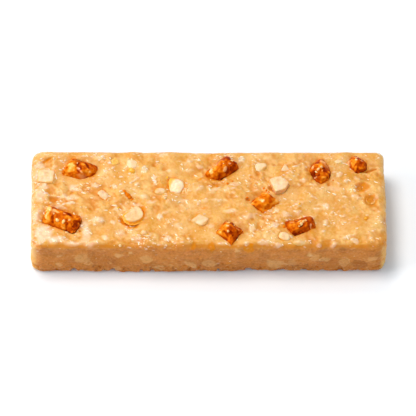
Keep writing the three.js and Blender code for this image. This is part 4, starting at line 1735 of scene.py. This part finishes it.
@dataclass(frozen=True)
class Strewing:
    """Small grains laid on a surface by a node tree, and joined to one mesh."""

    name: str
    roundness: float = 0.35  # how uneven a grain is, as a share of a millimetre
    flat: bool = True  # whether its facets show
    seed: int = 5
    kind: Grain = Grain.ROUND
    lump_mm: float = 0.8

    def tree(self) -> bpy.types.GeometryNodeTree:
        """Builds the node tree: a grain on each point, each of its own size, turn and shape.

        Returns:
            The tree, with its inputs named.
        """
        tree = bpy.data.node_groups.new(self.name, "GeometryNodeTree")
        inputs = {
            "Geometry": "NodeSocketGeometry",
            "Unevenness": "NodeSocketFloat",
            "Seed": "NodeSocketInt",
            "Finish": "NodeSocketMaterial",
        }
        for label, kind in inputs.items():
            tree.interface.new_socket(name=label, in_out="INPUT", socket_type=kind)
        tree.interface.new_socket(name="Geometry", in_out="OUTPUT", socket_type="NodeSocketGeometry")

        def add(kind: str, links: dict | None = None, output: str | int = 0, **settings: object) -> Socket:
            """Adds a node and gives one of its outputs."""
            return add_node(tree, kind, links, **settings).outputs[output]

        def draw(low: Vector3, high: Vector3) -> Socket:
            """Adds a random vector between two corners."""
            links = {"Min": low, "Max": high, "Seed": given["Seed"]}
            return add("FunctionNodeRandomValue", links, data_type="FLOAT_VECTOR")

        given = add_node(tree, "NodeGroupInput").outputs
        ball = add("GeometryNodeMeshIcoSphere", {"Radius": 0.5, "Subdivisions": 2})
        spin, stretch = draw(*self.kind.value[:2]), draw(*self.kind.value[2:])
        width = add("GeometryNodeInputNamedAttribute", {"Name": "width"}, data_type="FLOAT")
        scale = add("ShaderNodeVectorMath", {0: stretch, "Scale": width}, operation="SCALE")
        links = {"Points": given["Geometry"], "Instance": ball, "Rotation": spin, "Scale": scale}
        joined = add("GeometryNodeRealizeInstances", {0: add("GeometryNodeInstanceOnPoints", links)})
        links = {"Vector": add("GeometryNodeInputPosition"), "Scale": 1 / (self.lump_mm * MM), "Detail": 1.0}
        lumps = add("ShaderNodeTexNoise", links, "Color")
        centred = add("ShaderNodeVectorMath", {0: lumps, 1: (0.5, 0.5, 0.5)}, operation="SUBTRACT")
        push = add("ShaderNodeVectorMath", {0: centred, "Scale": given["Unevenness"]}, operation="SCALE")
        broken = add("GeometryNodeSetPosition", {"Geometry": joined, "Offset": push})
        shaded = add("GeometryNodeSetShadeSmooth", {0: broken, "Shade Smooth": not self.flat})
        dressed = add("GeometryNodeSetMaterial", {"Geometry": shaded, "Material": given["Finish"]})
        add_node(tree, "NodeGroupOutput", {0: dressed})
        return tree

    def build(
        self, places: Array, widths: Array, finish: Material, slot: str, fields: dict[str, float]
    ) -> Object:
        """Lays the grains.

        Args:
            places: the grains' middles, in millimetres.
            widths: their widths, in millimetres.
            finish: their material.
            slot: the record's material slot; not used.
            fields: what the material reads, the same all over.

        Returns:
            All the grains as one plain mesh.
        """
        points = mesh_object(self.name + "_points", places, [])
        set_field(points.data, "width", widths * MM)
        modifier = points.modifiers.new("grains", "NODES")
        modifier.node_group = self.tree()
        values = {"Unevenness": self.roundness * MM, "Seed": self.seed, "Finish": finish}
        for item in modifier.node_group.interface.items_tree:
            if item.in_out == "INPUT" and item.name in values:
                modifier[item.identifier] = values[item.name]
        grains = evaluated_copy(points)
        for name, value in fields.items():
            set_field(grains, name, np.full(len(grains.vertices), value))
        piece = linked_object(self.name, grains)
        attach(piece, BODY)
        return piece


@dataclass
class LooseCrumbs:
    """Nut crumbs that lie bare on the top and along the foot."""

    strewing: Strewing = Strewing("nut_crumbs", 0.6)
    count: int = 280
    seed: int = 19
    widths: Vector3 = (0.6, 0.9, 2.5)  # the least, what the widest adds, and its rarity
    sunk: float = 0.26  # how deep they sit, as a share of their width
    film: float = 0.3  # how far dough covers them

    def weights(self, places: Array, level: Array, wet: Array) -> Array:
        """How likely a crumb lies at each place.

        Args:
            places: places on the slab, in millimetres.
            level: how far each faces up.
            wet: how thick the syrup lies there.

        Returns:
            One weight for each place.
        """
        foot = (places[:, 2] < 2.2) & (places[:, 2] > 0.7)
        weights = 0.03 + wet**2 * ramp(0.75, 0.95, level) + 0.5 * foot
        weights[places[:, 2] < 0.6] = 0
        return weights

    def build(self, slab: Object, finish: Material) -> Object:
        """Picks places on the slab and strews the crumbs.

        Args:
            slab: the finished slab.
            finish: the nut material.

        Returns:
            The crumbs.
        """
        places, normals = vertex_places(slab.data), vertex_normals(slab.data)
        wet = numbers(slab.data.attributes["syrup"].data, "value", 1)[:, 0]
        weights = self.weights(places, normals[:, 2], wet)
        draw = np.random.default_rng(self.seed)
        chosen = draw.choice(len(places), self.count, replace=False, p=weights / weights.sum())
        least, more, rarity = self.widths
        widths = least + more * draw.uniform(size=self.count) ** rarity
        sunk = places[chosen] - normals[chosen] * (widths * self.sunk)[:, None]
        return self.strewing.build(sunk, widths, finish, "nut", {"foot": 0.0, "film": self.film})


@dataclass
class LooseSlivers(LooseCrumbs):
    """Pale slivers of nut lying flat in the wet top, set where glints fall: partly painted glints."""

    strewing: Strewing = Strewing("nut_slivers", 0.4, flat=False, seed=11, kind=Grain.SLIVER)
    count: int = 190
    seed: int = 20
    widths: Vector3 = (0.6, 0.5, 1.0)
    sunk: float = 0.05
    film: float = 0.0

    def weights(self, places: Array, level: Array, wet: Array) -> Array:
        """Slivers lie on the top only, most of them where it is wet."""
        return (0.04 + wet**1.5) * ramp(0.85, 0.97, level)


@dataclass
class PlacedGrains:
    """Grains dropped on other pieces at places that can be told: along, across and width, in millimetres."""

    name: str
    slot: str
    spots: tuple[Vector3, ...]
    fields: dict[str, float]
    sunk: float = 0.0  # how deep they sit, as a share of their width
    seed: int = 8
    drop: float = 40.0  # the height that they fall from, in millimetres

    def build(self, hosts: list[Object], finish: Material) -> Object:
        """Drops each grain on the highest piece under it.

        Args:
            hosts: the pieces that can carry a grain.
            finish: the grains' material.

        Returns:
            The grains.
        """
        graph = bpy.context.evaluated_depsgraph_get()
        surfaces = [BVHTree.FromObject(host, graph) for host in hosts]
        places, widths = [], []
        for along, across, width in self.spots:
            start = Vector((along, across, self.drop)) * MM
            hits = [tree.ray_cast(start, Vector((0, 0, -1)))[0] for tree in surfaces]
            found = [hit for hit in hits if hit is not None]
            if found:
                top = max(found, key=lambda hit: hit.z)
                places.append(np.array(top) / MM - [0, 0, width * self.sunk])
                widths.append(width)
        strewing = Strewing(self.name, 0.6, flat=False, seed=self.seed)
        return strewing.build(np.array(places), np.array(widths), finish, self.slot, self.fields)


# Cream grains stuck to the pretzel pieces
SALT_SPOTS = (
    (-60.1, -11.0, 2.0), (-57.6, -11.8, 1.8), (-55.2, -11.3, 1.1), (-61.6, -8.2, 0.8),
    (8.2, -12.0, 1.6), (7.8, -14.1, 2.0), (8.0, -16.4, 1.3), (10.4, -13.0, 0.7),
    (37.9, -12.1, 2.0), (37.1, -13.3, 1.6), (38.9, -11.4, 1.2), (36.2, -14.3, 1.0),
    (5.6, 7.4, 1.0), (9.6, 16.2, 1.3), (6.2, 14.4, 0.8),
    (45.6, 12.9, 1.6), (44.3, 11.9, 2.0), (43.6, 10.9, 1.4), (59.7, 16.6, 1.3), (-52.6, 15.4, 0.9),
    (20.4, -0.4, 0.7), (24.4, 1.6, 0.8),
)

# Crumbs of pretzel lying beside the pieces
PRETZEL_SPOTS = (
    (-33.5, 2.8, 1.9), (-32.8, 2.0, 1.5), (-32.2, 1.2, 2.3), (-31.4, 0.4, 2.1), (-30.4, -0.6, 1.4),
    (15.8, 0.3, 1.5), (16.8, -0.6, 1.3), (22.4, 4.5, 1.4), (23.4, 3.5, 1.5), (24.4, 2.6, 1.2),
    (30.4, -13.3, 1.7), (3.5, 5.6, 1.2), (8.0, 6.6, 1.4), (9.8, 7.8, 1.0), (42.4, -11.6, 1.0),
    (-58.3, 11.0, 1.1), (-46.0, 10.4, 0.9), (50.4, 8.4, 1.0), (14.0, -15.6, 0.9), (-51.2, -14.6, 1.0),
)

# Amber beads of set syrup
SYRUP_SPOTS = (
    (-30.6, 12.5, 3.4), (-16.4, 9.4, 1.3), (36.6, -3.0, 1.4), (63.0, -9.4, 1.5), (-36.0, -4.4, 1.4),
)


# ---------------------------------------------------------------- the studio


@dataclass(frozen=True)
class SoftBox:
    """A soft light that looks at the bar."""

    name: str
    at: Vector3
    size: float
    power: float
    tone: str = "FFFFFF"

    def hang(self) -> None:
        """Hangs the light and turns it to the bar."""
        lamp = bpy.data.lights.new(self.name, "AREA")
        lamp.shape = "DISK"
        lamp.size = self.size
        lamp.energy = self.power
        lamp.color = linear(self.tone)[:3]
        holder = linked_object(self.name, lamp)
        holder.location = self.at
        holder.rotation_euler = (-Vector(self.at)).to_track_quat("-Z", "Y").to_euler()


@dataclass
class Studio:
    """White paper floor, lights above, behind and at both ends, and pale light all round."""

    floor_size: float = 6.0
    floor_gap_mm: float = 0.02
    sky: float = 0.56
    sky_tone: str = "ECF6FF"
    elevation: float = 60.0  # of the camera, in degrees
    aim: Vector3 = (0.0, 0.0012, 0.010)
    distance: float = 1.385
    lens: float = 297.0
    sensor: float = 36.0
    lights: tuple[SoftBox, ...] = (
        SoftBox("key_light", (-0.27, 0.14, 1.0), 0.38, 5.88, "FFF5EB"),
        SoftBox("back_light", (-0.12, 0.56, 0.96), 0.34, 1.7),
        SoftBox("left_light", (-0.99, -0.12, 0.44), 0.5, 5.0),
        SoftBox("right_light", (1.0, -0.4, 0.5), 0.6, 1.1, "FFF0DC"),
    )

    def build(self) -> None:
        """Makes the floor, the lights and the camera."""
        corners = np.array([[-1, -1, 0], [1, -1, 0], [1, 1, 0], [-1, 1, 0]]) * (self.floor_size / 2 / MM)
        floor = mesh_object("floor", corners - UP * self.floor_gap_mm, [[0, 1, 2, 3]])
        floor.data.materials.append(PaperFinish().material())
        for light in self.lights:
            light.hang()
        world = bpy.data.worlds.new("pale_room")
        world.use_nodes = True
        sky = {"Color": linear(self.sky_tone), "Strength": self.sky}
        join(world.node_tree, world.node_tree.nodes["Background"], sky)
        bpy.context.scene.world = world
        self.camera()

    def camera(self) -> None:
        """Sets the camera at the photograph's angle, far off with a long lens."""
        tilt = math.radians(self.elevation)
        lens = bpy.data.cameras.new("camera")
        lens.lens = self.lens
        lens.sensor_width = self.sensor
        lens.clip_end = 20.0
        holder = linked_object("camera", lens)
        away = Vector((0, -math.cos(tilt), math.sin(tilt))) * self.distance
        holder.location = Vector(self.aim) + away
        holder.rotation_euler = (math.pi / 2 - tilt, 0, 0)
        bpy.context.scene.camera = holder
        bpy.context.scene.view_settings.view_transform = "Standard"


# ---------------------------------------------------------------- what the pieces are like


BROKEN, BURNT, DOUGHY, GLAZE_HIGHLIGHT = Bake

# What shows on each pretzel piece, seen from above, as the numbers of a CrustPatch, painted highlight and
# shade among them
PATCHES = {
    1: (
        (BROKEN, -55.3, 13.4, 6.4, 3.4, 50, 0.2, 1.05), (BROKEN, -55.4, 17.0, 1.4, 1.2, 0, 0.3),
        (BURNT, -54.4, 17.0, 1.4, 1.0, 0), (BURNT, -52.3, 14.4, 2.4, 2.6, 20, -0.3),
        (BURNT, -51.8, 11.8, 2.4, 1.8, 0, -0.2), (BURNT, -48.5, 14.4, 3.6, 1.5, -60, -0.3),
        (BROKEN, -50.0, 14.8, 2.2, 1.8, 0, 0.2), (BROKEN, -48.0, 11.8, 2.0, 3.2, 10, 0.1),
        (DOUGHY, -50.6, 10.2, 3.0, 1.2, 0, 0.0, 0.35), (BURNT, -57.9, 11.6, 1.2, 1.2, 0),
        (GLAZE_HIGHLIGHT, -52.2, 12.6, 1.8, 0.9, -40, 0.1, 1.0), (GLAZE_HIGHLIGHT, -51.0, 11.4, 1.3, 0.7, -40, 0.1, 1.0),
        (GLAZE_HIGHLIGHT, -56.6, 16.6, 1.3, 0.8, 40, 0.1, 1.0), (GLAZE_HIGHLIGHT, -47.6, 11.6, 0.9, 0.7, 0, 0.1, 0.9),
    ),
    2: (
        (BROKEN, -63.4, -6.4, 1.6, 4.0, -14, 0.2), (BROKEN, -64.4, -10.6, 2.0, 4.4, 0, 0.0),
        (DOUGHY, -61.8, -7.3, 1.6, 3.0, -20, 0.0, 0.35), (BURNT, -62.0, -10.0, 1.2, 3.6, 0, -0.3),
        (BURNT, -56.0, -8.0, 4.4, 1.3, -25, -0.2), (BURNT, -59.2, -5.8, 2.0, 1.0, -20),
        (BURNT, -60.6, -14.0, 6.5, 1.0, -18), (BURNT, -56.4, -12.6, 1.3, 3.2, 0, -0.3),
        (BURNT, -52.9, -13.2, 2.2, 5.4, -22, -0.7), (BROKEN, -55.3, -10.3, 2.6, 1.8, -20, 0.2),
        (BROKEN, -57.6, -13.4, 1.8, 1.6, 0, 0.1, 0.7), (BROKEN, -60.6, -11.6, 2.4, 2.2, 0, 0.1, 0.7),
        (GLAZE_HIGHLIGHT, -63.5, -6.0, 1.6, 2.6, -14, 0.1, 1.0), (GLAZE_HIGHLIGHT, -64.8, -9.5, 0.8, 2.6, -14, 0.1, 0.8),
        (GLAZE_HIGHLIGHT, -60.4, -7.1, 3.6, 1.0, -22, 0.1, 0.9), (GLAZE_HIGHLIGHT, -57.4, -8.2, 1.6, 0.8, -20, 0.1, 0.8),
    ),
    3: (
        (BROKEN, 3.6, 13.2, 2.4, 8.0, -44, 0.15), (BROKEN, 1.2, 9.4, 3.0, 1.8, 50, 0.0),
        (BROKEN, 6.4, 13.2, 1.8, 2.4, 0, 0.15, 0.6), (BURNT, 4.6, 9.3, 2.6, 2.2, 0, -0.2),
        (BURNT, 7.4, 7.8, 3.4, 3.0, 0, -0.4), (BURNT, 7.8, 11.8, 1.6, 6.0, -22, -0.5, 0.7),
        (BURNT, 10.0, 13.4, 1.6, 5.0, -20, -0.1), (BURNT, 8.6, 17.0, 2.6, 1.6, -30, -0.1),
        (BROKEN, 8.4, 14.6, 1.2, 2.6, -20, 0.3, 0.6), (GLAZE_HIGHLIGHT, 3.0, 14.6, 1.5, 5.2, -38, 0.1, 1.0),
        (GLAZE_HIGHLIGHT, 7.0, 12.4, 1.3, 2.8, -30, 0.1, 0.9), (GLAZE_HIGHLIGHT, 1.2, 11.4, 0.8, 2.0, -38, 0.1, 0.9),
        (GLAZE_HIGHLIGHT, 8.8, 14.6, 1.2, 0.8, 0, 0.1, 0.9),
    ),
    4: (
        (BROKEN, 44.6, 12.9, 4.4, 2.4, 40, 0.5), (BROKEN, 41.2, 12.8, 2.0, 1.2, 0),
        (BURNT, 42.4, 10.8, 2.8, 2.0, -30, -0.4), (BURNT, 44.4, 9.2, 2.8, 1.6, 0, -0.4),
        (BURNT, 46.9, 11.6, 1.8, 3.2, 0, -0.4), (DOUGHY, 46.6, 15.6, 1.6, 6.0, 40, 0.4, 0.4),
        (BROKEN, 48.2, 11.0, 1.4, 1.4, 0, 0.3), (BROKEN, 46.4, 8.6, 2.4, 1.2, 0, 0.2),
        (BURNT, 49.4, 10.6, 1.4, 2.6, 0, 0.0, 0.6), (GLAZE_HIGHLIGHT, 42.2, 13.4, 0.9, 2.2, 0, 0.1, 0.9),
        (GLAZE_HIGHLIGHT, 43.2, 9.0, 1.6, 0.6, 0, 0.1, 0.9), (GLAZE_HIGHLIGHT, 46.0, 11.4, 0.8, 0.7, 0, 0.1, 0.8),
        (GLAZE_HIGHLIGHT, 45.8, 16.0, 2.8, 0.8, -30, 0.1, 0.8),
    ),
    5: (
        (DOUGHY, 56.2, 15.8, 2.2, 3.0, 0, 0.0, 0.6), (BROKEN, 58.6, 15.8, 2.6, 3.6, -20, 0.1),
        (BROKEN, 59.4, 13.2, 1.0, 2.6, -20, 0.2), (BURNT, 61.8, 14.8, 3.6, 3.8, 0, -0.2, 0.55),
        (BURNT, 60.8, 12.2, 3.0, 1.2, 0, -0.1), (BURNT, 60.8, 17.6, 3.6, 1.2, -25, 0.0, 0.5),
        (GLAZE_HIGHLIGHT, 56.4, 16.0, 0.9, 3.0, -10, 0.1, 1.0), (GLAZE_HIGHLIGHT, 59.7, 17.8, 1.8, 0.9, 0, 0.1, 1.0),
        (GLAZE_HIGHLIGHT, 61.8, 16.2, 1.8, 0.8, -30, 0.1, 0.9),
    ),
    6: (
        (BROKEN, 22.8, 1.6, 2.6, 3.6, -20, 0.1, 0.7), (BROKEN, 20.4, -2.2, 3.0, 2.4, -30, 0.0, 0.8),
        (BROKEN, 26.0, -4.9, 5.0, 2.2, 38, 0.0, 0.75), (BROKEN, 22.2, -6.2, 2.2, 1.8, 0, 0.0, 0.8),
        (BURNT, 26.0, -6.8, 5.0, 1.0, 34, -0.1), (BURNT, 17.0, -1.8, 1.8, 1.6, 0, -0.6),
        (BURNT, 18.8, -4.6, 1.2, 3.6, 42, -0.2), (BURNT, 24.8, -1.6, 1.6, 3.4, 10, -0.1, 0.6),
        (BURNT, 22.6, -0.6, 1.6, 1.2, 0, 0.0, 0.5), (BROKEN, 27.6, -1.4, 1.4, 3.0, 0, 0.0, 0.8),
        (GLAZE_HIGHLIGHT, 21.3, -2.2, 3.2, 1.7, -20, 0.1, 1.0), (GLAZE_HIGHLIGHT, 23.4, 1.8, 1.4, 1.4, 0, 0.1, 0.8),
        (GLAZE_HIGHLIGHT, 18.0, -2.6, 1.0, 0.7, 0, 0.1, 0.9),
    ),
    7: (
        (BROKEN, 6.2, -14.6, 4.6, 4.2, 40, 0.1), (BROKEN, 4.4, -16.2, 1.6, 1.2, 0),
        (BURNT, 10.1, -13.0, 1.4, 3.4, 20, 0.0), (BURNT, 11.8, -14.8, 3.0, 3.2, 0, 0.0, 0.5),
        (BURNT, 9.2, -17.4, 2.4, 1.8, -30, -0.2), (BURNT, 7.0, -16.8, 0.9, 2.6, 30, -0.2),
        (BURNT, 12.6, -17.6, 1.0, 3.4, -40, -0.1, 0.7), (BROKEN, 8.4, -18.6, 4.2, 1.2, -26, 0.0, 0.5),
        (GLAZE_HIGHLIGHT, 8.2, -11.6, 2.2, 0.9, 0, 0.1, 1.0), (GLAZE_HIGHLIGHT, 4.6, -14.8, 0.9, 0.9, 0, 0.1, 0.9),
        (GLAZE_HIGHLIGHT, 11.6, -14.8, 1.8, 1.0, -30, 0.1, 0.7),
    ),
    8: (
        (BROKEN, 33.8, -13.2, 4.6, 3.4, 0, 0.0, 0.3), (BROKEN, 37.3, -12.4, 3.2, 2.0, 42, 0.2),
        (BURNT, 37.4, -14.3, 1.7, 1.5, 0, -0.4), (BURNT, 38.4, -17.0, 5.4, 1.9, 8, -0.2),
        (BURNT, 34.8, -17.2, 2.6, 1.8, -10, -0.2, 0.7), (BURNT, 40.2, -12.8, 1.6, 3.6, 10, -0.1, 0.7),
        (BURNT, 37.0, -10.8, 4.0, 0.8, 18, 0.0, 0.7), (BROKEN, 41.4, -15.0, 1.4, 1.6, 0, 0.2, 0.6),
        (GLAZE_HIGHLIGHT, 36.4, -11.6, 2.6, 1.0, 30, 0.1, 0.8), (GLAZE_HIGHLIGHT, 41.0, -13.8, 0.7, 1.8, 0, 0.1, 0.9),
        (GLAZE_HIGHLIGHT, 33.4, -12.0, 1.8, 0.8, 0, 0.1, 0.7),
    ),
}

# How much lighter than the others some pretzel pieces baked, or darker where it is below zero
PALER = {1: 0.04, 2: 0.06, 6: 0.09, 7: -0.03, 8: -0.03}

NUT_FINISHES = (
    # Peanut without its skin: waxy and cream, with amber oil low on its sides
    NutFinish("blanched_peanut", "ECD0A8", "E4B880", "FFA61C"),
    # The same where it is drier: paler
    NutFinish("pale_peanut", "F9E4C4", "F0D2A4", "FFAE26"),
    # Nut soaked through with oil: amber, and glossy where it is bare
    NutFinish("oil_soaked_nut", "FFC050", "F4A428", "E89420", "F0B458", coat=0.4),
    # Nut roasted brown: amber-brown and smooth
    NutFinish("toasted_nut", "DC8C08", "C87400", "B46000", "E2A64E", 0.25, 0.3),
    # Ground nut: dense cream grains
    NutFinish("nut_grain", "F2D8B0", "ECC890", "F2A43C", scatter_mm=0.15),
    # Pale slivers of nut, partly painted glints: bright specks with a soft gloss
    NutFinish("nut_sliver", "FFEBD0", "FBDDB8", "F2A43C", roughness=0.4, coat=0.3, scatter_mm=0.2),
    # Crystals under a coat of sugar: pale orange, and glossy
    NutFinish("sugared_salt", "FFD28C", "F9BE70", "F2A43C", coat=0.5, scatter_mm=0.2),
    # Syrup that set hard: deep amber, with a sharp glint
    NutFinish("set_syrup", "FFB824", "F8A81C", "D87C04", coat=1.0),
)

PROUD = {"lapped": 0.9, "worn": 8, "lumpy": 1.6, "veil": 0.1}
FLUSH = {"lapped": 1.3, "sink": 0.05, "worn": 8, "lumpy": 1.5, "crown": 0.5, "veil": 0.3}
PIT = {"slot": "toasted_nut", "lapped": 0.5, "dish": 0.4, "worn": 8, "sink": 0.95}
BURIED = {"slot": "toasted_nut", "lapped": 1.8, "lumpy": 3.5, "worn": 9, "veil": 0.4, "sink": 0.2}

# Each nut's kind, its finish, and how it differs from a plain one
NUTS = {
    "nut_bead_front": (NutPiece, "blanched_peanut", FLUSH),
    "nut_chip_front": (NutPiece, "pale_peanut", {"lumpy": 3.0, "veil": 0.4}),
    "nut_chip_left": (NutPiece, "blanched_peanut", {"lumpy": 3.0}),
    "nut_cube": (NutPiece, "blanched_peanut", {"worn": 5, "oily": 0.4}),
    "nut_dome_back": (NutPiece, "pale_peanut", FLUSH),
    "nut_flake_front": (NutPiece, "blanched_peanut", FLUSH),
    "nut_flake_middle": (NutPiece, "blanched_peanut", PROUD),
    "nut_slab_back": (NutPiece, "pale_peanut", FLUSH),
    "nut_slab_left": (NutPiece, "blanched_peanut", PROUD),
    "nut_sliver_back": (NutPiece, "pale_peanut", FLUSH),
    "nut_wedge_back": (NutPiece, "blanched_peanut", {"worn": 5}),
    "nut_wedge_front": (NutPiece, "blanched_peanut", PROUD),
    "peanut_half": (PeanutHalf, "blanched_peanut", {"veil": 0.3}),
    "peanut_tip": (PeanutTip, "pale_peanut", {}),
    "toasted_bit_1": (NutPiece, "toasted_nut", PIT),
    "toasted_bit_2": (NutPiece, "toasted_nut", PIT),
    "toasted_bit_3": (NutPiece, "oil_soaked_nut", BURIED),
}


def report(piece: Object) -> None:
    """Logs a finished piece."""
    LOG.info("%s: %d faces", piece.name, len(piece.data.polygons))


def main() -> None:
    """Builds the bar and its studio, and reports each piece."""
    logging.basicConfig(level=logging.INFO, format="%(name)s: %(message)s")
    slab = DoughSlab().build()
    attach(slab, BODY)
    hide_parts("dough_slab")
    report(slab)

    crust = CrustFinish().material()
    pretzels = []
    for number, rows in PATCHES.items():
        patches = tuple(CrustPatch(*row) for row in rows)
        seed = 100 + 10 * number
        maker = PretzelPiece(f"pretzel_piece_{number}", 0.2, patches, seed, PALER.get(number, 0.0))
        pretzels.append(maker.build(crust))
        report(pretzels[-1])

    finishes = {finish.name: finish.material() for finish in NUT_FINISHES}
    for seed, node in enumerate(sorted(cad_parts), 200):
        if node in NUTS:
            kind, finish, settings = NUTS[node]
            report(kind(node, seed=seed, **settings).build(finishes[finish]))

    report(LooseCrumbs().build(slab, finishes["nut_grain"]))
    report(LooseSlivers().build(slab, finishes["nut_sliver"]))
    bare = {"foot": 0.0, "film": 0.0}
    baked = {"bake": 0.66, "doughy": 0.0, "glaze": 0.0}
    salt = PlacedGrains("salt_grains", "nut", SALT_SPOTS, bare, 0.12)
    broken = PlacedGrains("pretzel_crumbs", "pretzel", PRETZEL_SPOTS, baked, 0.1)
    beads = PlacedGrains("syrup_beads", "toasted_nut", SYRUP_SPOTS, bare, 0.08)
    report(salt.build(pretzels, finishes["sugared_salt"]))
    report(broken.build([slab], crust))
    report(beads.build([slab], finishes["set_syrup"]))

    Studio().build()


if __name__ == "__main__":
    main()
